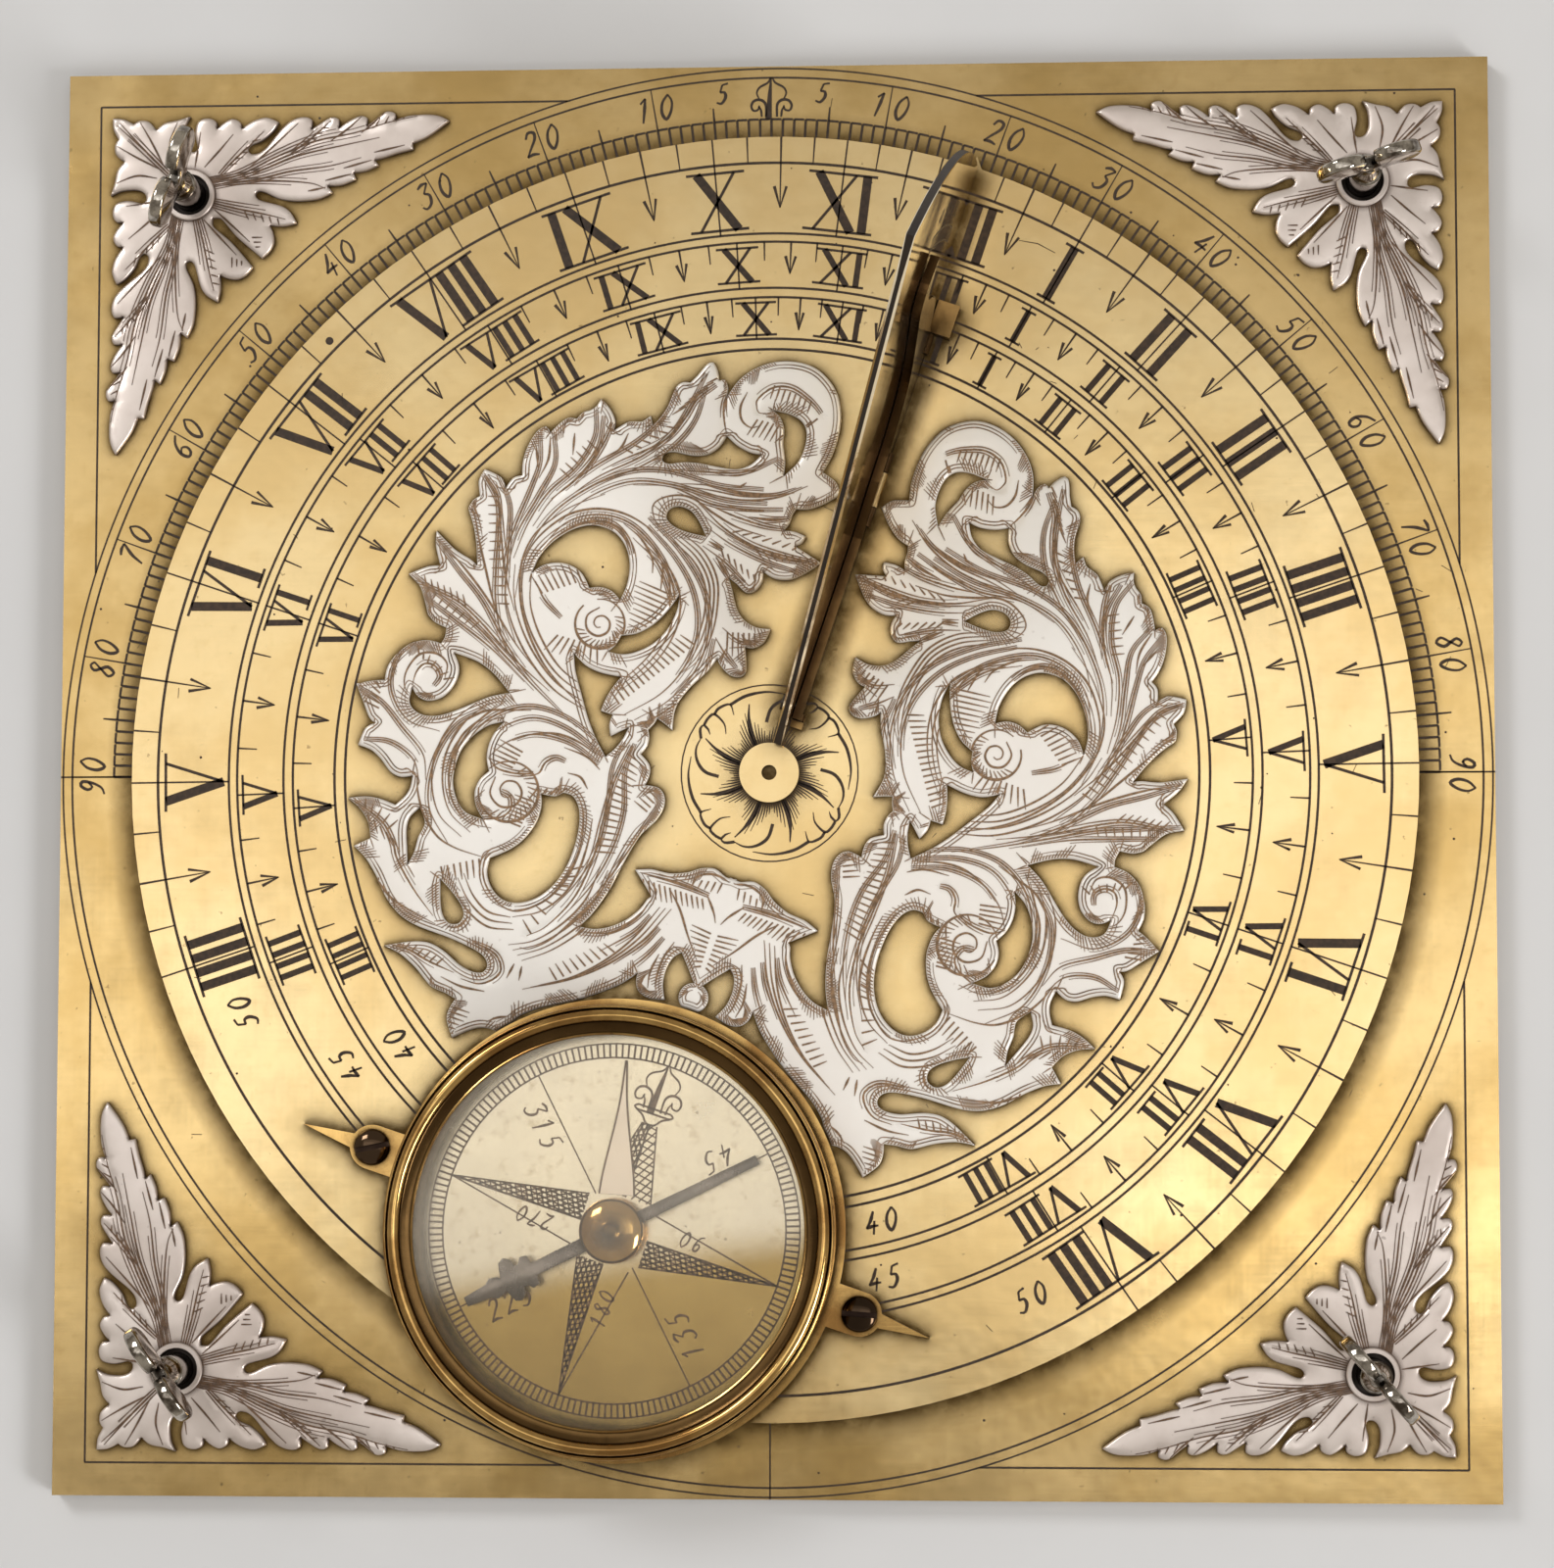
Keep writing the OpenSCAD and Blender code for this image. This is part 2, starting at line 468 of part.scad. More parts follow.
module scroll_ornament() {
    color(silver) on_dial() linear_extrude(scroll_t) offset(delta = edge_grow) difference() {
        union() {
            scroll_half();
            mirror([1, 0]) scroll_half();
            polygon(outline(BELL));
            mirror([1, 0]) polygon(outline(BELL));
            translate([0, -bell_ball_s]) circle(r = bell_ball_r, $fn = 32);
        }
        translate([0, -compass_s]) circle(r = foot_r + 4 * edge_grow);
    }
}

module scroll_pins() {
    color(silver) on_dial() translate([0, 0, -dial_t]) scroll_pin_places() cylinder(r = pin_r, h = dial_t);
}

// Lengths along the noon line of the fold hinge, from south to north.
// Odd stretches are fixed to the hour plate and even ones turn with the carrier.
front_s = 5.6;
front_n = 6.4;
front_end = 7.3;
middle_s = 32;
middle_n = 36;
middle_wing = 2.2;
rear_s = 52.7;
rear_n = 56.5;
rear_wing = 2.3;
// The fixed blocks stay inside the circle that the gnomon's side sweeps round the fold axis
block_h = fold_h + knuckle_r - carrier_gap / 2;
block_w = fold_e - carrier_gap;
block_e = fold_e + 2.4;

module knuckle(from, to, r) {
    translate([fold_e, from, fold_h]) rotate([-90, 0, 0]) cylinder(r = r, h = to - from);
}

module front_hinge_block() {
    color(brass) on_dial() difference() {
        translate([fold_e - knuckle_r, front_s, 0]) cube([2 * knuckle_r, front_n - front_s, block_h]);
        knuckle(front_s - past, front_n + past, fold_pin_r + seat);
    }
}

module middle_hinge_tube() {
    color(gilt) on_dial() difference() {
        union() {
            knuckle(middle_s, middle_n, knuckle_r);
            translate([fold_e - knuckle_r / 2, middle_s, 0]) cube([knuckle_r, middle_n - middle_s, fold_h]);
        }
        knuckle(middle_s - past, middle_n + past, fold_pin_r + seat);
    }
}

module rear_hinge_block() {
    color(brass) on_dial() difference() {
        translate([block_w, rear_s, 0]) cube([block_e - block_w, rear_n - rear_s, block_h]);
        knuckle(rear_s - past, rear_n + past, fold_pin_r + seat);
    }
}

module fold_pins() {
    color(steel) on_dial() {
        knuckle(front_s, front_end, fold_pin_r);
        knuckle(middle_s - knuckle_gap - middle_wing, middle_n + knuckle_gap + middle_wing, fold_pin_r);
        knuckle(rear_s - knuckle_gap - rear_wing, rear_n, fold_pin_r);
    }
}

// Underside of the carrier's strip above the hour plate
carrier_low = 0.3;

// Outline of the carrier's bird, north of the centre and up from the hour plate
BIRD = [[28, carrier_low, 1], [rear_s - knuckle_gap, carrier_low, 1], [rear_s - knuckle_gap, 6, 1],
    [53.6, 7.2, 1], [54.6, 9.6], [54.9, 13], [54, 16.4], [53.3, 19.2], [54.4, 21.4], [57.4, 22.9, 1],
    [54.6, 23.9], [52.4, 23.7], [50.7, 22.1], [49.6, 18.6], [48.2, 14.6], [46.7, 10.6], [44.4, 7.2],
    [41.6, 5.3], [38.4, 4.3], [34.5, 3.9], [31.5, 3.2], [28, strip_h, 1]];

// The carrier folds on its knuckles, and the gnomon turns on it
module gnomon_carrier() {
    clear_r = knuckle_r + knuckle_gap;
    color(brass) on_dial() difference() {
        union() {
            rotate([90, 0, 90]) translate([0, 0, carrier_w]) linear_extrude(carrier_t) {
                polygon(outline(BIRD, 4));
            }
            translate([carrier_w, front_n + knuckle_gap, carrier_low])
                cube([carrier_t, middle_s - front_n, strip_h - carrier_low]);
            knuckle(front_n + knuckle_gap, front_end, knuckle_r);
            knuckle(middle_s - knuckle_gap - middle_wing, middle_s - knuckle_gap, knuckle_r);
            knuckle(middle_n + knuckle_gap, middle_n + knuckle_gap + middle_wing, knuckle_r);
            knuckle(rear_s - knuckle_gap - rear_wing, rear_s - knuckle_gap, knuckle_r);
        }
        // Room for the fixed middle tube, and the running bores
        translate([carrier_w - past, middle_s - knuckle_gap, -past])
            cube([carrier_t + 2 * past, middle_n - middle_s + 2 * knuckle_gap, past + fold_h + clear_r]);
        knuckle(front_n, front_end + past, fold_pin_r + fold_fit);
        knuckle(middle_s - 2 * middle_wing, middle_n + 2 * middle_wing, fold_pin_r + fold_fit);
        knuckle(rear_s - 2 * rear_wing, rear_s, fold_pin_r + fold_fit);
        // Seat of the latitude pin
        lat_bore(lat_pin_r + seat);
    }
}

module lat_bore(r) {
    translate([-5, pivot_n, pivot_h]) rotate([0, 90, 0]) cylinder(r = r, h = 10);
}

// The pin runs from its head on the gnomon's west side through to the carrier's east side
lat_head_t = 0.5;
lat_head_r = 0.95;
module latitude_pin() {
    color(steel) on_dial() translate([0, pivot_n, pivot_h]) rotate([0, 90, 0]) {
        translate([0, 0, -carrier_w]) cylinder(r = lat_pin_r, h = carrier_w + carrier_e);
        translate([0, 0, -carrier_w - lat_head_t]) cylinder(r = lat_head_r, h = lat_head_t);
    }
}

// The gnomon is a sector about the latitude pivot, and the line of its style meets the dial's centre
style_run = cos(style_lat);
style_rise = sin(style_lat);
// Where the style's line meets the back arc: distance along the line from the dial's centre
pivot_along = pivot_n * style_run + pivot_h * style_rise;
pivot_off = pivot_n * style_rise - pivot_h * style_run;
style_end = pivot_along + sqrt(arc_r * arc_r - pivot_off * pivot_off);
tip_up_angle = atan2(style_end * style_rise - pivot_h, style_end * style_run - pivot_n);
toe_angle = asin((gnomon_lift - pivot_h) / arc_r);
arc_steps = 48;
module gnomon_profile() {
    polygon(concat(
        [[pivot_n - eye_r / 2, pivot_h + eye_r / 2], [style_low / tan(style_lat), style_low]],
        [for (i = [0 : arc_steps]) let (a = tip_up_angle + (toe_angle - tip_up_angle) * i / arc_steps)
            [pivot_n + arc_r * cos(a), pivot_h + arc_r * sin(a)]],
        [[pivot_n, gnomon_lift]]));
}

module gnomon() {
    color(gilt) on_dial() rotate([90, 0, 90]) translate([0, 0, -gnomon_t / 2]) difference() {
        union() {
            linear_extrude(gnomon_t) gnomon_profile();
            translate([pivot_n, pivot_h, 0]) cylinder(r = eye_r, h = gnomon_t);
        }
        translate([pivot_n, pivot_h, -past]) cylinder(r = lat_pin_r + fold_fit, h = gnomon_t + 2 * past);
    }
}

// The ears' screws stand east and west of the compass's centre
module ear_places() {
    for (side = [-1, 1]) translate([side * ear_at, -compass_s, 0]) children();
}

module compass_foot() {
    color(brass) on_compass() difference() {
        union() {
            cylinder(r = foot_r, h = foot_t);
            for (side = [-1, 1]) {
                translate([side * ear_at, 0, 0]) cylinder(r = ear_r, h = foot_t);
                linear_extrude(foot_t) polygon([[side * (foot_r - 1), -ear_r], [side * ear_at, -ear_r],
                    [side * (ear_at + ear_r * 0.9), -ear_r / 3], [side * ear_tip, 0],
                    [side * (ear_at + ear_r * 0.9), ear_r / 3], [side * ear_at, ear_r],
                    [side * (foot_r - 1), ear_r]]);
            }
        }
        translate([0, 0, -past]) for (side = [-1, 1]) translate([side * ear_at, 0, 0])
            cylinder(r = shank_r + pin_fit, h = foot_t + 2 * past);
    }
}

module ring(r_out, r_in, h) {
    difference() {
        cylinder(r = r_out, h = h);
        translate([0, 0, -past]) cylinder(r = r_in, h = h + 2 * past);
    }
}

module compass_wall() {
    color(brass) on_compass() translate([0, 0, foot_t]) ring(wall_r, wall_r - wall_t, wall_h);
}

module compass_card() {
    color(silver) on_compass() translate([0, 0, foot_t]) cylinder(r = wall_r - wall_t - pin_fit, h = card_t);
}

card_top = foot_t + card_t;
needle_z = card_top + needle_up;
module compass_point() {
    color(steel) on_compass() translate([0, 0, card_top]) {
        cylinder(r = 3 * point_r, h = point_r);
        cylinder(r = point_r, h = needle_up);
        translate([0, 0, needle_up]) cylinder(r1 = point_r, r2 = 0.05, h = 2 * point_r);
    }
}

module compass_glass() {
    color("lightblue") on_compass() translate([0, 0, foot_t + wall_h]) cylinder(r = wall_r - pin_fit, h = glass_t);
}

// The bezel's skirt goes round the wall, and its rounded lip holds the glass
module compass_bezel() {
    top = foot_t + wall_h + glass_t;
    skirt_r = wall_r + bezel_t;
    color(gilt) on_compass() rotate_extrude() polygon([
        [wall_r + pin_fit, top - bezel_h], [skirt_r, top - bezel_h], [skirt_r, top - 0.2],
        [skirt_r - 0.15, top + 0.4], [skirt_r - 0.6, top + lip_t - 0.15], [skirt_r - 1.2, top + lip_t],
        [bezel_in + 0.6, top + lip_t - 0.35], [bezel_in, top], [wall_r + pin_fit, top]]);
}

module compass_screws() {
    color(steel) on_dial() ear_places() difference() {
        union() {
            translate([0, 0, -dial_t]) cylinder(r = shank_r, h = dial_t + foot_t + head_h / 2);
            translate([0, 0, foot_t]) cylinder(r = head_r, h = head_h);
        }
        rotate([0, 0, 25]) translate([-head_r - past, -slot_w / 2, foot_t + head_h / 2])
            cube([2 * head_r + 2 * past, slot_w, head_h]);
    }
}

// The needle's head points along +Y before it is turned
cup_r = point_r + 0.15;
module compass_needle() {
    color(steel) on_compass() rotate([0, 0, noon_turn - needle_turn]) translate([0, 0, needle_z]) difference() {
        union() {
            cylinder(r = cup_r + 2 * needle_t + 0.5, h = needle_t);
            linear_extrude(needle_t) polygon([
                [-0.75, -10.4], [-2.2, -10.6], [-2.2, -11.8], [-1.1, -12.2], [-2.6, -13.4], [-1, -14.2],
                [-0.8, 1 - needle_half], [0.8, 1 - needle_half], [1, -14.2], [2.6, -13.4], [1.1, -12.2],
                [2.2, -11.8], [2.2, -10.6], [0.75, -10.4], [0.9, 0], [0.6, needle_half - 4.5],
                [1.8, needle_half - 4], [0, needle_half], [-1.8, needle_half - 4],
                [-0.6, needle_half - 4.5], [-0.9, 0]]);
        }
        translate([0, 0, -past]) cylinder(r = cup_r + needle_t, h = needle_t + 2 * past);
    }
}

// A domed cap rides on the point and carries the needle
module needle_cap() {
    color(gilt) on_compass() translate([0, 0, needle_z]) rotate_extrude() polygon([
        [cup_r, -0.4], [cup_r + needle_t - pin_fit, -0.4], [cup_r + needle_t - pin_fit, needle_t],
        [cap_r, needle_t], [cap_r, needle_t + 0.3], [cap_r - 0.8, needle_t + 0.9], [1.2, needle_t + 1.2],
        [0.9, needle_t + 1.6], [0, needle_t + 1.75], [0, needle_t + 0.75], [cup_r, needle_t + 0.45]]);
}

base_plate();
pivot_stud();
corner_ornament(CORNER[0]);  // corner_ornament_nw
corner_ornament(CORNER[1]);  // corner_ornament_ne
corner_ornament(CORNER[2]);  // corner_ornament_se
corner_ornament(CORNER[3]);  // corner_ornament_sw
corner_pins();
screw_bushes();
hour_plate();
scroll_ornament();
scroll_pins();
front_hinge_block();
middle_hinge_tube();
rear_hinge_block();
fold_pins();
compass_foot();
compass_wall();
compass_card();
compass_point();
compass_glass();
compass_bezel();
compass_screws();
compass_needle();
needle_cap();
gnomon_carrier();
latitude_pin();
gnomon();
screw_shank(CORNER[0]);  // screw_shank_nw
screw_shank(CORNER[1]);  // screw_shank_ne
screw_shank(CORNER[2]);  // screw_shank_se
screw_shank(CORNER[3]);  // screw_shank_sw
wing(CORNER[0], WING_TURN[0]);  // wing_nw
wing(CORNER[1], WING_TURN[1]);  // wing_ne
wing(CORNER[2], WING_TURN[2]);  // wing_se
wing(CORNER[3], WING_TURN[3]);  // wing_sw
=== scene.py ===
import json
import math
import random

import bmesh
import bpy
import numpy as np
from mathutils import Matrix, Vector, kdtree
from mathutils.bvhtree import BVHTree
from mathutils.geometry import delaunay_2d_cdt


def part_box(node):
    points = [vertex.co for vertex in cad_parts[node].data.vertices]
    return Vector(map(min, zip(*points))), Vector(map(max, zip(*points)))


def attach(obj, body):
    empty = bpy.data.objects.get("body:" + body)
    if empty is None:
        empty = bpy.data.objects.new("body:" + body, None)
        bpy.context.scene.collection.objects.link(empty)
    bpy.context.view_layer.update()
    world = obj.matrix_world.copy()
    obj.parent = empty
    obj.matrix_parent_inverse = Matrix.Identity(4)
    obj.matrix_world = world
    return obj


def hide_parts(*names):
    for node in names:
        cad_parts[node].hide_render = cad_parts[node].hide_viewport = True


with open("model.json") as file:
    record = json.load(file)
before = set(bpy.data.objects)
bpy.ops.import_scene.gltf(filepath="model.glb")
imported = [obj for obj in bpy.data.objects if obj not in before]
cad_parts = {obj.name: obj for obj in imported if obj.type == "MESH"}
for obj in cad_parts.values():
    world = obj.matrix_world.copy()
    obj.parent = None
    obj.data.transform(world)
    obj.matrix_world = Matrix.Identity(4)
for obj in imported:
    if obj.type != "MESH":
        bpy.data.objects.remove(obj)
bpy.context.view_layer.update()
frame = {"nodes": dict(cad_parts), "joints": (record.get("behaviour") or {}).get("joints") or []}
scene = bpy.context.scene
random.seed(7)

# All drawn sizes are in millimetres, and this makes them metres
MM = 0.001


def low_of(name, axis=2):
    """The least coordinate of a node's box"""
    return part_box(name)[0][axis] / MM


def top_of(name, axis=2):
    """The greatest coordinate of a node's box"""
    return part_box(name)[1][axis] / MM


def half_width(name):
    return (top_of(name, 0) - low_of(name, 0)) / 2


# Places and sizes worked out from the frame
JOINTS = {joint["name"]: joint for joint in frame["joints"]}
north = Vector(JOINTS["gnomon_fold"]["axis"])
noon_turn = math.atan2(north.x, north.y)
plate_half = top_of("base_plate", 0)
plate_top = top_of("base_plate")
dial_top = top_of("hour_plate")
dial_r = -low_of("hour_plate", 0)
compass_at = Vector(JOINTS["needle_swing"]["pos_m"]).xy / MM
CORNERS = {"nw": (-1, 1), "ne": (1, 1), "se": (1, -1), "sw": (-1, -1)}
screw_at = abs(JOINTS["wing_turn_nw"]["pos_m"][0]) / MM


def place(height, turn=0.0, centre=(0.0, 0.0)):
    """Gives the function that puts a drawn point on a level plane, turned clockwise about its centre"""
    c, s = math.cos(turn), math.sin(turn)

    def put(x, y, z=0.0):
        return ((centre[0] + x * c + y * s) * MM, (centre[1] - x * s + y * c) * MM, (height + z) * MM)
    return put


on_base = place(plate_top)
on_dial = place(dial_top, noon_turn)
on_card = place(top_of("compass_card"), noon_turn, compass_at)


# Camera, at the photograph's angle: a little south-east of straight above
PHOTO_HEIGHT = 1600
FOCAL_PX = 4504
SENSOR_MM = 36
CAMERA_AT = Vector((32.3, -37.9, 498)) * MM
CAMERA_RIGHT = Vector((0.99797, 0.00097, -0.06363))
CAMERA_BACK = Vector((0.06353, -0.07404, 0.99523))


def make_camera():
    data = bpy.data.cameras.new("camera")
    data.sensor_width = SENSOR_MM
    data.lens = FOCAL_PX / PHOTO_HEIGHT * SENSOR_MM
    data.clip_start = 0.01
    data.clip_end = 20
    camera = bpy.data.objects.new("camera", data)
    scene.collection.objects.link(camera)
    up = CAMERA_BACK.cross(CAMERA_RIGHT)
    turn = Matrix((CAMERA_RIGHT, up, CAMERA_BACK)).transposed()
    camera.matrix_world = Matrix.Translation(CAMERA_AT) @ turn.to_4x4()
    scene.camera = camera


make_camera()
scene.view_settings.view_transform = "Standard"


# Node helpers
def node(tree, kind, **values):
    """Adds a node; a value is set on the input of that name, or on the node itself"""
    made = tree.nodes.new(kind)
    for name, value in values.items():
        label = name.replace("_", " ")
        if label in made.inputs:
            made.inputs[label].default_value = value
        else:
            setattr(made, name, value)
    return made


def join(tree, out, into):
    tree.links.new(out, into)


def metre_point(tree, stretch=(1, 1, 1), turn=0.0):
    """The point in millimetres in the piece's own space, stretched and turned about Z"""
    coords = node(tree, "ShaderNodeTexCoord")
    mapping = node(tree, "ShaderNodeMapping")
    mapping.inputs["Scale"].default_value = [s / MM for s in stretch]
    mapping.inputs["Rotation"].default_value = (0, 0, turn)
    join(tree, coords.outputs["Object"], mapping.inputs["Vector"])
    return mapping.outputs["Vector"]


def noise(tree, size, detail=4.0, rough=0.6, stretch=(1, 1, 1), turn=0.0):
    """Noise whose features are about size millimetres across"""
    made = node(tree, "ShaderNodeTexNoise", Scale=1.0 / size, Detail=detail, Roughness=rough)
    join(tree, metre_point(tree, stretch, turn), made.inputs["Vector"])
    return made.outputs["Fac"]


def ramp(tree, value, low, high, to_low=0.0, to_high=1.0):
    made = node(tree, "ShaderNodeMapRange")
    made.interpolation_type = "SMOOTHSTEP"
    for name, number in (("From Min", low), ("From Max", high), ("To Min", to_low), ("To Max", to_high)):
        made.inputs[name].default_value = number
    join(tree, value, made.inputs["Value"])
    return made.outputs["Result"]


def blend(tree, share, first, second):
    """Mixes two colours, each a colour or an output, by an output"""
    made = node(tree, "ShaderNodeMix")
    made.data_type = "RGBA"
    join(tree, share, made.inputs[0])
    for colour, into in ((first, made.inputs[6]), (second, made.inputs[7])):
        if isinstance(colour, tuple):
            into.default_value = (*colour, 1)
        else:
            join(tree, colour, into)
    return made.outputs[2]


def combine(tree, operation, first, second):
    made = node(tree, "ShaderNodeMath")
    made.operation = operation
    for value, into in ((first, made.inputs[0]), (second, made.inputs[1])):
        if isinstance(value, (int, float)):
            into.default_value = value
        else:
            join(tree, value, into)
    return made.outputs[0]


def new_material(name):
    material = bpy.data.materials.new(name)
    material.use_nodes = True
    tree = material.node_tree
    tree.nodes.clear()
    out = node(tree, "ShaderNodeOutputMaterial")
    shader = node(tree, "ShaderNodeBsdfPrincipled")
    join(tree, shader.outputs[0], out.inputs["Surface"])
    return material, tree, shader


def add_bump(tree, shader, height, strength, distance):
    bump = node(tree, "ShaderNodeBump", Strength=strength, Distance=distance * MM)
    join(tree, height, bump.inputs["Height"])
    join(tree, bump.outputs["Normal"], shader.inputs["Normal"])


# How large a metal's features are, in millimetres: mottles, dirt spots, breaks in the dirt and painted shade
# of the corners, scratches along and across, changes of gloss, and waves
MOTTLE = 1.6
SPOT = 0.9
RAGGED = 2.5
SCRATCH = 0.5
CROSS_SCRATCH = 0.45
SHEEN = 9.0
WAVE = 5.0


def metal(name, clean, worn, dirt_and_shade, gloss=0.36, halo=1.2, halo_strength=0.9, blotch=22.0, pits=0.5,
          relief=1.0, painted_reflection_colour=None, metallic=1.0):
    """Old hand-finished metal: clean and worn patches, corners darkened by soil and by painted shade, pits,
    scratches
    """
    material, tree, shader = new_material(name)
    shader.inputs["Metallic"].default_value = metallic
    patches = ramp(tree, noise(tree, blotch, 5.0), 0.38, 0.66)
    colour = blend(tree, patches, clean, worn)
    # Painted reflection: north of a line over the compass the colour turns pale, as under the light mirrored
    # in the glass
    if painted_reflection_colour:
        colour = blend(tree, north_of_needle(tree, 3.0), colour, painted_reflection_colour)
    mottle = ramp(tree, noise(tree, MOTTLE, 3.0), 0.52, 0.78, 0.0, 0.35)
    colour = blend(tree, mottle, colour, worn)
    spots = ramp(tree, noise(tree, SPOT, 2.0, 0.5), 0.72, 0.8, 0.0, pits)
    colour = blend(tree, spots, colour, dirt_and_shade)
    # Soil and painted shade: where ambient occlusion finds walls and corners near, the colour darkens towards
    # the dirt colour
    shade = node(tree, "ShaderNodeAmbientOcclusion")
    shade.samples = 6
    shade.inputs["Distance"].default_value = halo * MM
    grime_and_shade = ramp(tree, shade.outputs["AO"], 0.70, 1.0, halo_strength, 0.0)
    ragged = ramp(tree, noise(tree, RAGGED, 4.0), 0.3, 0.6, 0.8, 1.0)
    grime_and_shade = combine(tree, "MULTIPLY", grime_and_shade, ragged)
    colour = blend(tree, grime_and_shade, colour, dirt_and_shade)
    join(tree, colour, shader.inputs["Base Color"])
    scratches = noise(tree, SCRATCH, 3.0, 0.7, stretch=(0.03, 1.0, 1.0), turn=0.5)
    cross = noise(tree, CROSS_SCRATCH, 3.0, 0.7, stretch=(1.0, 0.05, 1.0), turn=-0.25)
    lines = combine(tree, "ADD", scratches, cross)
    uneven = combine(tree, "ADD", noise(tree, SHEEN), combine(tree, "MULTIPLY", lines, 0.22))
    roughness = ramp(tree, uneven, 0.55, 1.25, gloss - 0.06, gloss + 0.12)
    roughness = combine(tree, "ADD", roughness, combine(tree, "MULTIPLY", grime_and_shade, 0.25))
    join(tree, roughness, shader.inputs["Roughness"])
    waves = combine(tree, "MULTIPLY", noise(tree, WAVE, 2.0), relief)
    surface = combine(tree, "ADD", combine(tree, "MULTIPLY", lines, 0.06), waves)
    add_bump(tree, shader, surface, 0.18, 0.12)
    return material


def north_of_needle(tree, soft):
    """A share that goes from 0 to 1 across a line over the compass; north of it lies the painted reflection
    that makes the card pale and the glass milky
    """
    slope = 0.15
    split = node(tree, "ShaderNodeSeparateXYZ")
    join(tree, metre_point(tree), split.inputs[0])
    fall = combine(tree, "MULTIPLY", split.outputs["X"], slope)
    level = combine(tree, "SUBTRACT", split.outputs["Y"], fall)
    level = combine(tree, "ADD", level, combine(tree, "MULTIPLY", noise(tree, 14.0, 3.0), 2.0))
    edge = compass_at.y - slope * compass_at.x - 2.5
    return ramp(tree, level, edge - soft, edge + soft)


def wax(name, colour):
    """Dark wax in the cut lines, with a dull crumbly skin"""
    material, tree, shader = new_material(name)
    grain = ramp(tree, noise(tree, 0.5, 4.0), 0.35, 0.7)
    pale = tuple(c * 2.1 + 0.004 for c in colour)
    join(tree, blend(tree, grain, colour, pale), shader.inputs["Base Color"])
    shader.inputs["Roughness"].default_value = 0.55
    add_bump(tree, shader, noise(tree, 0.25), 0.4, 0.05)
    return material


# Colours of dirt spots, also used as the painted shade in corners and round raised parts
BRASS_DIRT_AND_SHADE = (0.085, 0.05, 0.016)
BRONZE_DIRT_AND_SHADE = (0.03, 0.015, 0.007)
CARD_DIRT_AND_SHADE = (0.14, 0.08, 0.03)

base_brass = metal("base_brass", (0.72, 0.52, 0.235), (0.57, 0.385, 0.145), BRASS_DIRT_AND_SHADE, gloss=0.21, halo=3.6,
                   halo_strength=1.0)
dial_brass = metal("dial_brass", (0.83, 0.635, 0.33), (0.74, 0.53, 0.24), BRASS_DIRT_AND_SHADE, gloss=0.21, halo=3.2,
                   halo_strength=1.0)
silver = metal("silver", (0.975, 0.945, 0.905), (0.94, 0.895, 0.845), (0.20, 0.12, 0.07), gloss=0.44,
               halo=0.4, halo_strength=0.6, pits=0.15, relief=0.2, metallic=0.35)
corner_silver = metal("corner_silver", (0.80, 0.715, 0.665), (0.64, 0.55, 0.50), (0.10, 0.055, 0.035),
                      gloss=0.38, halo=0.7, halo_strength=0.85, pits=0.4, relief=0.2, metallic=0.7)
hinge_brass = metal("hinge_brass", (0.34, 0.21, 0.08), (0.13, 0.075, 0.027), BRONZE_DIRT_AND_SHADE, gloss=0.22,
                    blotch=6.0)
tube_brass = metal("tube_brass", (0.95, 0.76, 0.42), (0.80, 0.58, 0.27), (0.10, 0.05, 0.02), gloss=0.18)
carrier_brass = metal("carrier_brass", (0.13, 0.075, 0.03), (0.06, 0.034, 0.014), BRONZE_DIRT_AND_SHADE, gloss=0.2,
                      blotch=6.0)
gnomon_brass = metal("gnomon_brass", (0.97, 0.87, 0.66), (0.86, 0.68, 0.42), (0.10, 0.055, 0.02), gloss=0.09,
                     blotch=16.0, halo=0.4, relief=0.1)
# Near black, for painted shade: in the bushes' mouths and on the gnomon's edges
painted_shade_black = metal("painted_shade_black", (0.03, 0.018, 0.009), (0.015, 0.009, 0.005), (0.015, 0.008, 0.004),
                    gloss=0.6, metallic=0.0)
compass_brass = metal("compass_brass", (0.70, 0.45, 0.16), (0.34, 0.18, 0.055), (0.04, 0.018, 0.005),
                      gloss=0.14, blotch=9.0, halo=1.6, halo_strength=1.0, relief=0.15)
# The bezel's cove and groove are painted dark: painted shade
cove_shade_brass = metal("cove_shade_brass", (0.20, 0.115, 0.042), (0.10, 0.055, 0.02), (0.02, 0.01, 0.004), gloss=0.16,
                   halo=1.0, relief=0.1)
# The box's wall is painted dark: painted shade inside the compass under the bezel
wall_shade_brass = metal("wall_shade_brass", (0.22, 0.135, 0.055), (0.12, 0.07, 0.028), (0.03, 0.015, 0.005), gloss=0.28,
                   halo=2.5)
# The card is painted pale to the north: a painted reflection of the light on the glass
card_brass = metal("silvered_card", (0.50, 0.34, 0.115), (0.43, 0.285, 0.09), CARD_DIRT_AND_SHADE, gloss=0.24,
                   relief=0.2, painted_reflection_colour=(0.95, 0.83, 0.60))
steel = metal("steel", (0.62, 0.57, 0.50), (0.09, 0.068, 0.05), (0.015, 0.01, 0.007), gloss=0.13, blotch=2.6,
              halo=2.0, halo_strength=1.0, relief=0.4)
dark_steel = metal("dark_steel", (0.11, 0.07, 0.042), (0.05, 0.032, 0.02), (0.02, 0.012, 0.01), gloss=0.14)
blued_steel = metal("blued_steel", (0.25, 0.21, 0.175), (0.09, 0.076, 0.066), (0.03, 0.02, 0.015), gloss=0.3,
                    blotch=12.0)
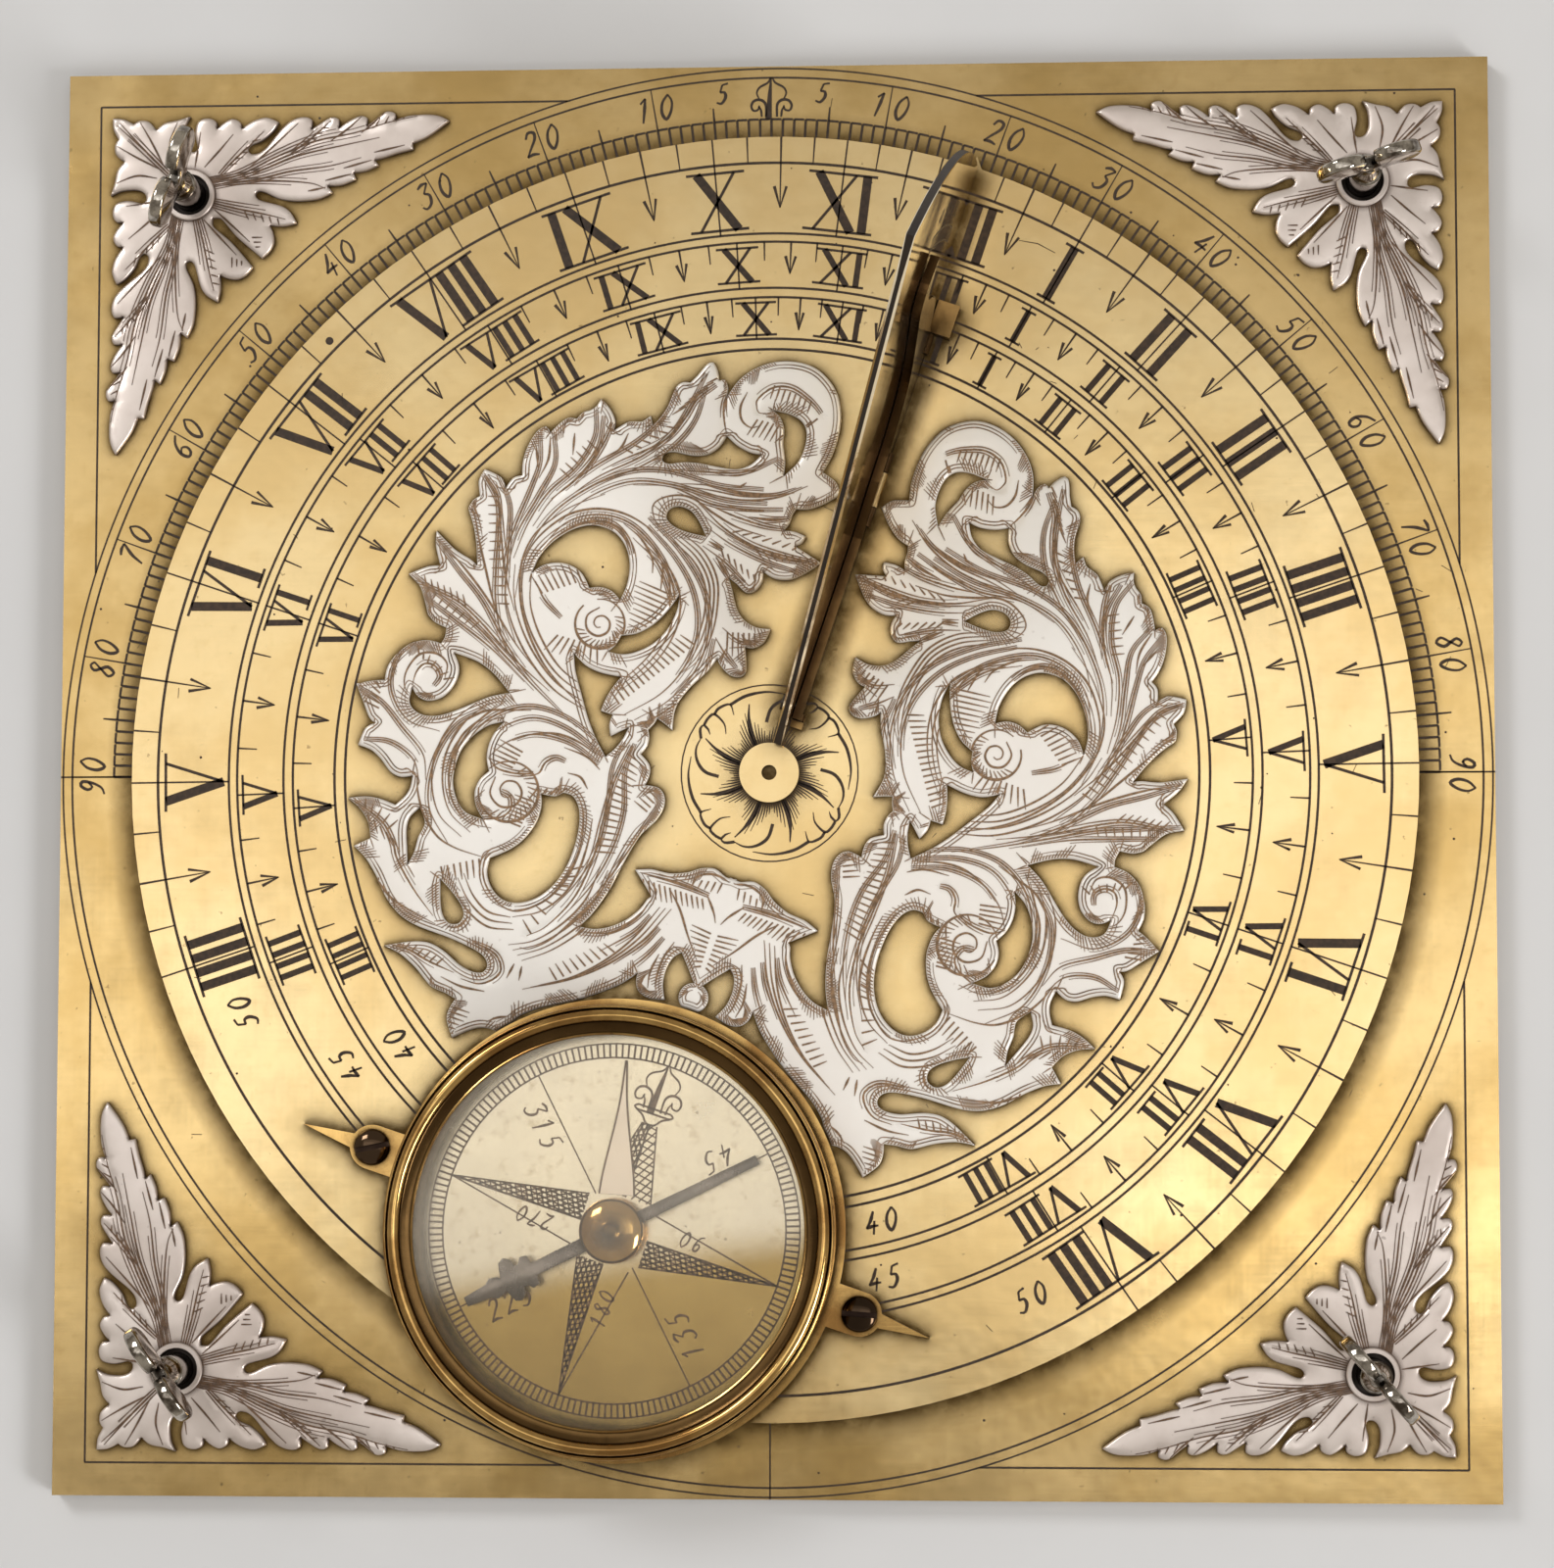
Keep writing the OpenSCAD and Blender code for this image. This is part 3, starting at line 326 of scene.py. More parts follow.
pale_gilt = metal("pale_gilt", (0.97, 0.82, 0.64), (0.92, 0.76, 0.57), CARD_DIRT_AND_SHADE, gloss=0.36, pits=0.1,
                  relief=0.2)
dark_wax = wax("dark_wax", (0.026, 0.013, 0.005))
brown_wax = wax("brown_wax", (0.085, 0.045, 0.022))
sepia_wax = wax("sepia_wax", (0.17, 0.10, 0.05))


def old_glass():
    """Flat old glass: clear to the south, with a painted reflection over its north, a thin milky veil"""
    material, tree, shader = new_material("glass")
    shader.inputs["Base Color"].default_value = (0.93, 0.85, 0.72, 1)
    shader.inputs["Roughness"].default_value = 0.06
    cloud = ramp(tree, noise(tree, 16.0, 3.0), 0.3, 0.7, 0.04, 0.11)
    # Painted reflection: the glass turns a little milky to the north
    painted_reflection = combine(tree, "MULTIPLY", north_of_needle(tree, 3.5), cloud)
    join(tree, combine(tree, "ADD", painted_reflection, 0.03), shader.inputs["Alpha"])
    return material


glass = old_glass()

NODE_MATERIALS = {
    "base_plate": base_brass, "pivot_stud": dial_brass, "corner_pins": silver, "screw_bushes": corner_silver,
    "hour_plate": dial_brass, "scroll_pins": silver, "front_hinge_block": hinge_brass,
    "middle_hinge_tube": tube_brass, "rear_hinge_block": hinge_brass, "fold_pins": steel,
    "compass_foot": compass_brass, "compass_wall": wall_shade_brass, "compass_card": card_brass,
    "compass_point": steel, "compass_glass": glass, "compass_bezel": compass_brass,
    "compass_screws": dark_steel, "compass_needle": blued_steel, "needle_cap": compass_brass,
    "gnomon_carrier": carrier_brass, "latitude_pin": steel, "gnomon": gnomon_brass, "scroll_ornament": silver,
}
for corner in CORNERS:
    NODE_MATERIALS["corner_ornament_" + corner] = corner_silver
    # The shanks, down in the bushes, are the wings' steel made dark: painted shade of the holes
    NODE_MATERIALS["screw_shank_" + corner] = dark_steel
    NODE_MATERIALS["wing_" + corner] = steel


def dress_nodes():
    for name, piece in frame["nodes"].items():
        piece.data.materials.clear()
        piece.data.materials.append(NODE_MATERIALS[name])


dress_nodes()


# Meshes
def mesh_piece(name, verts, faces, material, body, smooth=False):
    data = bpy.data.meshes.new(name)
    data.from_pydata(verts, [], faces)
    data.validate()
    data.materials.append(material)
    if smooth:
        data.shade_smooth()
    piece = bpy.data.objects.new(name, data)
    scene.collection.objects.link(piece)
    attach(piece, body)
    return piece


def polar(r, angle):
    """The point at radius r and angle degrees clockwise from +Y"""
    a = math.radians(angle)
    return (r * math.sin(a), r * math.cos(a))


def arc(r, start, end, step=1.5, centre=(0.0, 0.0)):
    """Points along an arc, angles in degrees clockwise from +Y, about step millimetres apart"""
    count = max(2, math.ceil(abs(math.radians(end - start)) * r / step) + 1)
    points = [polar(r, start + (end - start) * i / (count - 1)) for i in range(count)]
    return [(centre[0] + x, centre[1] + y) for x, y in points]


def swing(centre, r, degrees, rise=None):
    """Points round a centre, by angles from the first axis; rise is the second half axis, if another"""
    turns = [math.radians(a) for a in degrees]
    return [(centre[0] + r * math.cos(a), centre[1] + (rise or r) * math.sin(a)) for a in turns]


def heading(points, i, closed=False):
    """The direction of a line at its i-th point, one long"""
    before = points[i - 1] if i or closed else points[i]
    after = points[(i + 1) % len(points)] if i < len(points) - 1 or closed else points[i]
    dx, dy = after[0] - before[0], after[1] - before[1]
    length = math.hypot(dx, dy) or 1.0
    return dx / length, dy / length


def aside_of(points, i, aside, closed=False):
    """The point beside the i-th point of a line, to the right of its course"""
    dx, dy = heading(points, i, closed)
    return (points[i][0] + dy * aside, points[i][1] - dx * aside)


def curve(points, step=0.6):
    """A smooth line through the points"""
    if len(points) < 3:
        return [tuple(p) for p in points]
    given = [Vector(p) for p in points]
    padded = [2 * given[0] - given[1], *given, 2 * given[-1] - given[-2]]
    made = []
    for i in range(1, len(padded) - 2):
        a, b, c, d = padded[i - 1:i + 3]
        count = max(1, math.ceil((c - b).length / step))
        for k in range(count):
            t = k / count
            p = 0.5 * ((2 * b) + (c - a) * t + (2 * a - 5 * b + 4 * c - d) * t * t
                       + (3 * b - a - 3 * c + d) * t * t * t)
            made.append((p.x, p.y))
    made.append(tuple(given[-1]))
    return made


class Engraving:
    """Cut lines filled with wax: closed bars that stand a hair above the metal, as one mesh"""
    proud = 0.018
    sunk = 0.05

    def __init__(self, put, surface=None):
        self.put = put
        self.surface = surface or (lambda x, y: 0.0)
        self.verts = []
        self.faces = []

    def station(self, p, side, half):
        z = self.surface(p[0], p[1])
        for share, rise in ((-1, -self.sunk), (-1, self.proud), (1, self.proud), (1, -self.sunk)):
            x, y = p[0] + side[0] * half * share, p[1] + side[1] * half * share
            self.verts.append(self.put(x, y, z + rise))

    def line(self, points, width, start=1.0, end=1.0, closed=False):
        """A cut through the points; start and end give the ends' width as a share of width"""
        widths = width if isinstance(width, list) else [width] * len(points)
        count = len(points)
        first = len(self.verts)
        for i, p in enumerate(points):
            dx, dy = heading(points, i, closed)
            t = i / max(1, count - 1)
            share = min(1.0, start + (1 - start) * t / 0.4) * min(1.0, end + (1 - end) * (1 - t) / 0.6)
            self.station(p, (dy, -dx), max(0.02, share * widths[i] / 2))
        spans = count if closed else count - 1
        for i in range(spans):
            a, b = first + 4 * i, first + 4 * ((i + 1) % count)
            for k in range(4):
                n = (k + 1) % 4
                self.faces.append((a + k, b + k, b + n, a + n))
        if not closed:
            last = first + 4 * (count - 1)
            self.faces.append((first + 3, first + 2, first + 1, first))
            self.faces.append((last, last + 1, last + 2, last + 3))

    def ring(self, r, width):
        count = max(48, int(r * 4))
        self.line([polar(r, 360 * i / count) for i in range(count)], width, closed=True)

    def spoke(self, first, last, angle, width, start=1.0, end=1.0):
        """A cut along a radius, from one distance to another"""
        self.line([polar(first, angle), polar(last, angle)], width, start, end)

    def hatch(self, corners, angle, spacing, width):
        """Parallel cuts across a convex shape, angle degrees clockwise from +Y"""
        along, across = polar(1, angle), polar(1, angle + 90)
        reach = [p[0] * across[0] + p[1] * across[1] for p in corners]
        for k in range(1, int((max(reach) - min(reach)) / spacing) + 1):
            level = min(reach) + (k - 0.5) * spacing
            hits = []
            for i, p in enumerate(corners):
                q = corners[i - 1]
                a, b = reach[i] - level, reach[i - 1] - level
                if a * b < 0:
                    t = a / (a - b)
                    hits.append((p[0] + (q[0] - p[0]) * t, p[1] + (q[1] - p[1]) * t))
            if len(hits) == 2 and math.dist(*hits) > spacing:
                hits.sort(key=lambda h: h[0] * along[0] + h[1] * along[1])
                self.line(hits, width)

    def piece(self, name, material, body, slot):
        return mesh_piece(name, self.verts, self.faces, material, body)


# Digits as pen strokes in a box one high, written upright and leaning a little to the right
DIGITS = {
    "0": [[(0.34, 1.0), (0.12, 0.72), (0.08, 0.3), (0.26, 0.0), (0.46, 0.3), (0.5, 0.7), (0.34, 1.0)]],
    "1": [[(0.1, 0.8), (0.3, 1.0)], [(0.3, 1.0), (0.26, 0.5), (0.2, 0.0)]],
    "2": [[(0.08, 0.76), (0.2, 0.98), (0.44, 0.92), (0.44, 0.66), (0.2, 0.3), (0.02, 0.02)],
          [(0.02, 0.02), (0.25, 0.07), (0.52, 0.0)]],
    "3": [[(0.06, 0.9), (0.26, 1.0), (0.5, 0.96)], [(0.5, 0.96), (0.24, 0.62)],
          [(0.24, 0.62), (0.44, 0.46), (0.38, 0.12), (0.14, 0.0), (0.0, 0.14)]],
    "4": [[(0.36, 1.0), (0.2, 0.6), (0.0, 0.32)], [(0.0, 0.32), (0.26, 0.36), (0.54, 0.34)],
          [(0.38, 0.58), (0.3, 0.0)]],
    "5": [[(0.5, 1.0), (0.22, 0.94)], [(0.22, 0.94), (0.14, 0.58)],
          [(0.14, 0.58), (0.36, 0.56), (0.42, 0.3), (0.24, 0.02), (0.0, 0.08)]],
    "6": [[(0.5, 0.98), (0.22, 0.78), (0.06, 0.4), (0.16, 0.04), (0.36, 0.06), (0.42, 0.3), (0.26, 0.48),
           (0.08, 0.36)]],
    "7": [[(0.04, 0.94), (0.26, 1.0), (0.52, 0.98)], [(0.52, 0.98), (0.26, 0.5), (0.14, 0.0)]],
    "8": [[(0.44, 0.86), (0.28, 1.0), (0.12, 0.82), (0.26, 0.56), (0.42, 0.28), (0.26, 0.0), (0.06, 0.2),
           (0.22, 0.5), (0.44, 0.86)]],
    "9": [[(0.42, 0.66), (0.26, 0.5), (0.12, 0.68), (0.24, 0.96), (0.42, 0.9), (0.42, 0.5), (0.28, 0.12),
           (0.04, 0.0)]],
}
DIGIT_SLANT = 0.14


def number(cut, text, at, angle, height, pen=0.3, gap=0.16, split=0.0):
    """Writes a number centred at a point, its top turned angle degrees clockwise from +Y"""
    widths = [0.56 * height for _ in text]
    total = sum(widths) + gap * height * (len(text) - 1) + split
    a = math.radians(angle)
    right, up = (math.cos(a), -math.sin(a)), (math.sin(a), math.cos(a))
    x = -total / 2
    for i, digit in enumerate(text):
        for stroke in DIGITS[digit]:
            points = []
            for u, v in curve(stroke, 0.12):
                across = x + (u + DIGIT_SLANT * v) * height
                rise = (v - 0.5) * height
                points.append([at[k] + right[k] * across + up[k] * rise for k in (0, 1)])
            cut.line(points, pen, 0.6, 0.5)
        x += widths[i] + gap * height + (split if i == 0 else 0.0)


def fleur(cut, foot, tall, pen, band):
    """A fleur-de-lis that stands on the point (0, foot); its left half is darkened, and it may have a band"""
    def at(points):
        return [(x * tall, foot + y * tall) for x, y in points]

    petal = [(0.02, 1.0), (0.09, 0.88), (0.28, 0.77), (0.35, 0.64), (0.3, 0.5)]
    curl = [(0.13, 0.06), (0.14, 0.36), (0.27, 0.47), (0.42, 0.44), (0.48, 0.32), (0.43, 0.21), (0.32, 0.23),
            (0.29, 0.33)]
    stem = [(0.23, 0.06), (0.25, 0.22), (0.3, 0.3)]
    tie = [(0.34, 0.1), (0.4, 0.05), (0.34, 0.0), (0.2, -0.08), (0.1, -0.2), (0.0, -0.23)]
    for side in (-1, 1):
        for path, share in ((petal, 1.0), (curl, 1.3), (stem, 1.0)):
            cut.line(curve(at([(side * x, y) for x, y in path]), 0.2), pen * share, 0.7, 0.6)
    cut.line(at([(-0.01, 1.0), (-0.04, 0.6), (-0.07, 0.0)]), [pen * 0.6, tall * 0.09, tall * 0.15])
    if band:
        for level in (0.0, 0.1):
            cut.line(at([(-0.34, level), (0.34, level)]), pen)
        for side in (-1, 1):
            cut.line(curve(at([(side * x, y) for x, y in tie]), 0.2), pen)


def pit(cut, at, r):
    """A small round pit"""
    steps = [-1, -0.85, -0.5, 0, 0.5, 0.85, 1]
    widths = [max(0.04, 2 * r * math.sqrt(1 - t * t)) for t in steps]
    cut.line([(at[0] + r * t, at[1]) for t in steps], widths)


def wear(cut, near, far, count):
    """Pits and short nicks, scattered between two distances from the middle"""
    for _ in range(count):
        at = polar(random.uniform(near, far), random.uniform(0, 360))
        if max(abs(at[0]), abs(at[1])) > plate_half - 2:
            continue
        if random.random() < 0.6:
            pit(cut, at, random.uniform(0.05, 0.14))
        else:
            way = polar(random.uniform(0.3, 1.4), random.uniform(0, 360))
            cut.line([at, (at[0] + way[0], at[1] + way[1])], random.uniform(0.05, 0.08), 0.5, 0.4)


# Base plate engraving: radii of the degree scale's parts, half side of the square, and the thinnest line
DEGREE_IN = dial_r - 0.4
DEGREE_OUT = 74.9
FIVE_OUT = 76.5
SCALE_R = 79.7
SCALE_R2 = 80.75
SQUARE = 77.3
HAIR = 0.16
DEGREE_PEN = 0.26
FIVE_PEN = 0.24
FRAME_PEN = 0.2
NUMBER_PEN = 0.36


def base_engraving():
    cut = Engraving(on_base)
    cut.ring(SCALE_R, FRAME_PEN)
    cut.ring(SCALE_R2, 0.17)
    corner_line = math.sqrt(SCALE_R2 ** 2 - SQUARE ** 2)
    for sx, sy in CORNERS.values():
        cut.line([(sx * corner_line, sy * SQUARE), (sx * SQUARE, sy * SQUARE)], FRAME_PEN)
        cut.line([(sx * SQUARE, sy * corner_line), (sx * SQUARE, sy * SQUARE)], FRAME_PEN)
    for degree in range(-90, 91):
        cut.spoke(DEGREE_IN, DEGREE_OUT, degree, DEGREE_PEN)
        if degree and degree % 10 == 0:
            cut.spoke(DEGREE_OUT, SCALE_R, degree, HAIR, 1.0, 0.6)
        elif degree % 10 == 5:
            cut.spoke(DEGREE_OUT, FIVE_OUT, degree, FIVE_PEN, 1.0, 0.6)
        if degree < 90:
            cut.line(arc(DEGREE_OUT, degree, degree + 0.86, 0.7), FIVE_PEN)
    for side in (-1, 1):
        cut.line([(side * dial_r, 0), (side * plate_half, 0)], HAIR)
        for tens in range(1, 10):
            at = polar((SCALE_R + DEGREE_OUT) / 2 + 0.1, side * 10 * tens)
            number(cut, str(10 * tens), at, side * 10 * tens, 2.8, split=0.5, pen=NUMBER_PEN)
        number(cut, "5", polar(78.1, side * 4.2), side * 5, 2.3, pen=NUMBER_PEN)
    cut.line([(0, -plate_half), (0, -dial_r)], HAIR)
    fleur(cut, DEGREE_OUT, SCALE_R - DEGREE_OUT, FIVE_PEN, False)
    wear(cut, dial_r + 1, 105, 110)
    return cut


# Roman hours
HOURS = {-8: "IIII", -7: "V", -6: "VI", -5: "VII", -4: "VIII", -3: "IX", -2: "X", -1: "XI", 0: "XII", 1: "I",
         2: "II", 3: "III", 4: "IIII", 5: "V", 6: "VI", 7: "VII", 8: "VIII"}
# Each ring: its latitude; its band's radii; its numerals' radii; where its quarter ticks, its arrows' tips
# and their barbs end; the barbs' half width; the pen; the strokes' spacing, the widths of V and X, and the
# serifs' length past the outer strokes; and where the latitude is written, in degrees from noon
RINGS = [
    dict(latitude=50, outer=dial_r, inner=61.3, top=68.5, foot=61.9, quarter=69.4, tip=64.25, barb=66.7,
         wing=0.69, pen=1.0, pitch=1.65, v_width=4.3, x_width=4.3, serif=1.15, left_mark=-133,
         right_mark=135),
    dict(latitude=45, outer=60.35, inner=55.07, top=59.7, foot=55.8, quarter=58.2, tip=56.7, barb=58.7,
         wing=0.58, pen=0.66, pitch=1.35, v_width=2.7, x_width=3.0, serif=0.9, left_mark=-143.3,
         right_mark=148.7),
    dict(latitude=40, outer=54.0, inner=49.25, top=53.4, foot=49.7, quarter=51.9, tip=50.3, barb=52.3,
         wing=0.44, pen=0.6, pitch=1.3, v_width=2.5, x_width=2.9, serif=0.85, left_mark=-145,
         right_mark=147.5),
]


def hour_angle(latitude, hour):
    """Angle from noon in degrees, clockwise, of an hour line on a level dial"""
    turn = math.radians(15 * hour)
    return math.degrees(math.atan2(math.sin(math.radians(latitude)) * math.sin(turn), math.cos(turn)))


def glyph_strokes(text, ring):
    """Strokes of a numeral: foot and top along the ring, and whether it is thick"""
    pitch = {1: 0, 2: 1.55, 3: 1.1, 4: 1.0}.get(len(text) if set(text) == {"I"} else 4) * ring["pitch"]
    strokes, x = [], 0.0
    for letter in text:
        if letter == "I":
            strokes.append((x, x, True))
            x += pitch or ring["pitch"]
        elif letter == "V":
            middle = x + ring["v_width"] / 2
            strokes += [(middle, x, True), (middle, x + ring["v_width"], False)]
            x += ring["v_width"] + 0.75 * ring["pitch"]
        else:
            strokes += [(x + ring["x_width"], x, True), (x, x + ring["x_width"], False)]
            x += ring["x_width"] + 0.75 * ring["pitch"]
    return strokes


def numeral(cut, text, angle, ring):
    strokes = glyph_strokes(text, ring)
    reach = [x for foot, top, _ in strokes for x in (foot, top)]
    middle = (min(reach) + max(reach)) / 2
    tangent, out = polar(1, angle + 90), polar(1, angle)

    def spot(x, r):
        return (tangent[0] * (x - middle) + out[0] * r, tangent[1] * (x - middle) + out[1] * r)

    bar = 0.28 if ring["pen"] > 0.9 else 0.24
    for foot, top, thick in strokes:
        cut.line([spot(foot, ring["foot"]), spot(top, ring["top"])], ring["pen"] if thick else 0.3)
    for end, row in ((0, ring["foot"]), (1, ring["top"])):
        ends = [stroke[end] for stroke in strokes]
        if end == 0 and text == "V":
            continue
        left, right = min(ends) - ring["serif"], max(ends) + ring["serif"]
        if end == 0 and text[0] == "V":
            left = sorted(ends)[2] - ring["serif"]
        cut.line([spot(left, row), spot(right, row)], bar)


def arrow(cut, angle, ring):
    """Half-hour line with a barbed head that points to the centre"""
    tip = polar(ring["tip"], angle)
    cut.line([polar(ring["outer"], angle), tip], HAIR + 0.06, 1.0, 0.4)
    side, out = polar(1, angle + 90), polar(1, angle)
    for turn in (-1, 1):
        barb = (out[0] * ring["barb"] + side[0] * ring["wing"] * turn,
                out[1] * ring["barb"] + side[1] * ring["wing"] * turn)
        cut.line([barb, tip], 0.42 if turn < 0 else 0.34, 0.8, 0.25)


def hour_ring(cut, ring):
    for quarter in range(-32, 33):
        hour = quarter / 4
        angle = hour_angle(ring["latitude"], hour)
        if quarter % 4 == 0:
            cut.spoke(ring["outer"], ring["inner"], angle, HAIR)
            numeral(cut, HOURS[quarter // 4], angle, ring)
        elif quarter % 2 == 0:
            arrow(cut, angle, ring)
        else:
            cut.spoke(ring["outer"], ring["quarter"], angle, 0.18, 1.0, 0.6)


# Rosette round the hub: a quarter of it, as (radius, degrees clockwise) from the middle of its plain petal
ROSETTE_TURN = -18.6
ROSETTE_OUT = 9.95
ROSETTE_RAYS = 96
HUB_R = 3.5
ROSETTE_LINES = [
    (0.32, [(8.9, -30), (9.1, -17), (9.15, -2), (9.05, 12)]),
    (0.34, [(5.75, -3.6), (7.1, 0.6), (7.9, 6), (8.5, 13), (8.75, 20), (8.68, 28)]),
    (0.3, [(8.68, 27), (9.3, 33), (9.15, 38)]),
    (0.28, [(9.2, 37), (9.3, 42), (9.1, 47), (7.6, 47.5), (6.6, 42)]),
    (0.28, [(9.1, 47), (9.3, 52), (8.95, 60), (7.7, 58.5)]),
    (0.24, [(9.2, 36.4), (8.5, 35.6), (8.0, 33)]),
    (0.48, [(3.4, 18), (5.1, 20.2), (6.7, 24.5), (8.2, 28.5)]),
    (0.48, [(3.4, 63), (5.1, 65.2), (6.7, 69.5), (8.1, 73.5)]),
]


def rosette(cut):
    cut.ring(ROSETTE_OUT, 0.13)
    for quarter in range(4):
        turn = ROSETTE_TURN + 90 * quarter
        for width, path in ROSETTE_LINES:
            cut.line(curve([polar(r, turn + angle) for r, angle in path], 0.4), width, 1.0, 0.2)
    for k in range(ROSETTE_RAYS):
        share = (k % 12) / 12
        out = 6.9 - 3.0 * min(share, 1 - share) * 2 + 0.5 * random.random()
        angle = ROSETTE_TURN + 18 + 360 * k / ROSETTE_RAYS
        lean = 3.5 * (out - HUB_R) / 3
        ray = [polar(HUB_R - 0.1, angle), polar((HUB_R - 0.1 + out) / 2, angle + 0.35 * lean),
               polar(out, angle + lean)]
        cut.line(curve(ray, 0.5), 0.15, 1.0, 0.2)


# Circles cut in the hour plate: radius and width
DIAL_CIRCLES = [(69.4, 0.28), (61.3, 0.24), (60.35, 0.24), (55.07, 0.24), (54.0, 0.24), (49.25, 0.26),
                (48.05, 0.26)]


def dial_engraving():
    cut = Engraving(on_dial)
    for r, width in DIAL_CIRCLES:
        cut.ring(r, width)
    for ring in RINGS:
        hour_ring(cut, ring)
        for angle, turn in (ring["left_mark"], 0), (ring["right_mark"], 180):
            at = polar((ring["top"] + ring["foot"]) / 2, angle)
            number(cut, str(ring["latitude"]), at, angle + turn, 2.5, pen=0.38, gap=0.3)
    rosette(cut)
    pit(cut, (-63.4, 30.9), 0.45)
    cut.line([(7.5, 66.0), (9.6, 66.3), (11.8, 65.9)], 0.09, 0.3, 0.3)
    cut.line([(-72.8, -9.2), (-72.3, -7.4)], 0.1, 0.3, 0.3)
    wear(cut, 11, dial_r - 1, 120)
    return cut


base_engraving().piece("base_engraving", dark_wax, "base", "dark_steel")
dial_engraving().piece("dial_engraving", dark_wax, "hour_dial", "dark_steel")


# Compass card: a ring of degrees, four long rays with one half cross-cut, thin half rays, a spear and a fleur
CARD_IN = 19.2
CARD_OUT = 20.75
RAY_FOOT = 3.9
RAY_HALF = 3.0
SPEAR_TURN = -14.5
# The spear's half width at distances from the pivot
SPEAR_HALVES = [(4.0, 1.95), (6.0, 1.75), (9.0, 1.25), (12.0, 0.72), (15.0, 0.32), (18.9, 0.05)]


# Radii of the fleur's foot and of the numbers, and the width of the rays' hatching
FLEUR_FOOT = 13.6
OUTER_NUMBERS = 14.2
INNER_NUMBERS = 8.9
HATCH_PEN = 0.17


def card_engraving():
    cut = Engraving(on_card)
    cut.ring(CARD_IN, 0.16)
    cut.ring(CARD_OUT, 0.14)
    for degree in range(0, 360, 2):
        cut.spoke(CARD_IN, CARD_OUT, degree, 0.2)
    fleur(cut, FLEUR_FOOT, CARD_IN - FLEUR_FOOT, 0.2, True)
    for quarter, dark in enumerate((-1, 1, 1, 1)):
        turn = 90 * quarter
        across = polar(1, turn + 90)
        foot, tip = polar(RAY_FOOT, turn), polar(FLEUR_FOOT - 1.2 if quarter == 0 else CARD_IN, turn)
        narrow = 0.85 if quarter == 0 else 0.0
        edges = []
        for side in (-1, 1):
            low = (foot[0] + side * RAY_HALF * across[0], foot[1] + side * RAY_HALF * across[1])
            high = (tip[0] + side * narrow * across[0], tip[1] + side * narrow * across[1])
            edges.append((low, high))
            cut.line([low, high], 0.15)
        low, high = edges[(dark + 1) // 2]
        half = [foot, low, high, tip] if narrow else [foot, low, tip]
        if quarter == 0:
            cut.hatch([foot, *edges[1], tip], 30, 0.75, 0.14)
            cut.hatch([foot, *edges[1], tip], 100, 0.75, 0.14)
        cut.line([foot, tip], 0.2)
        cut.hatch(half, turn + 7, 0.5, HATCH_PEN)
        cut.hatch(half, turn - 28, 0.55, HATCH_PEN)
        cut.hatch(half, turn + 62, 0.55, 0.15)
    for turn in (45, 135, 225, 315):
        cut.spoke(4.6, CARD_IN, turn, 0.13)
    for turn in (45, 135, 225, 315):
        number(cut, str(turn), polar(OUTER_NUMBERS, turn - 8), turn + 90, 2.4, pen=0.28, gap=0.25)
    for turn, upright in ((90, 180), (180, 270), (270, 180)):
        number(cut, str(turn), polar(INNER_NUMBERS, turn - 10), upright, 1.8, pen=0.24, gap=0.25)
    return cut


def card_spear():
    """The pale spear over the north ray"""
    cut = Engraving(on_card)
    cut.proud = 0.035
    cut.line([polar(r, SPEAR_TURN) for r, _ in SPEAR_HALVES], [2 * half for _, half in SPEAR_HALVES])
    return cut


def spear_outline():
    cut = Engraving(on_card)
    cut.proud = 0.05
    for side in (-1, 1):
        across = polar(side, SPEAR_TURN + 90)
        edge = []
        for r, half in SPEAR_HALVES:
            x, y = polar(r, SPEAR_TURN)
            edge.append((x + across[0] * half, y + across[1] * half))
        cut.line(curve(edge, 0.8), 0.17)
    return cut


card_engraving().piece("card_engraving", brown_wax, "hour_dial", "dark_steel")
card_spear().piece("card_spear", pale_gilt, "hour_dial", "silvered_card")
spear_outline().piece("spear_outline", brown_wax, "hour_dial", "dark_steel")


# Silver ornament: the flat cut-out of the frame, with rounded edges and a low crown
def flat_loops(name, turn, centre):
    """The loops round a flat node's top face, in millimetres, in the plane that place() draws on"""
    mesh = bmesh.new()
    mesh.from_mesh(frame["nodes"][name].data)
    bmesh.ops.remove_doubles(mesh, verts=mesh.verts, dist=0.001 * MM)
    top = max(v.co.z for v in mesh.verts) - 0.01 * MM
    caps = {f for f in mesh.faces if all(v.co.z > top for v in f.verts)}
    after = {}
    for face in caps:
        for loop in face.loops:
            if not any(f in caps for f in loop.edge.link_faces if f is not face):
                after[loop.vert.index] = loop.link_loop_next.vert.index
    spots = {v.index: (v.co.x / MM - centre[0], v.co.y / MM - centre[1]) for v in mesh.verts}
    mesh.free()
    c, s = math.cos(turn), math.sin(turn)
    loops = []
    while after:
        start = min(after)
        loop, at = [], start
        while at in after:
            x, y = spots[at]
            loop.append((x * c - y * s, x * s + y * c))
            at = after.pop(at)
        loops.append(loop)
    return loops


# A corner of an outline that turns by more degrees than this stays sharp
SHARP_TURN = 48


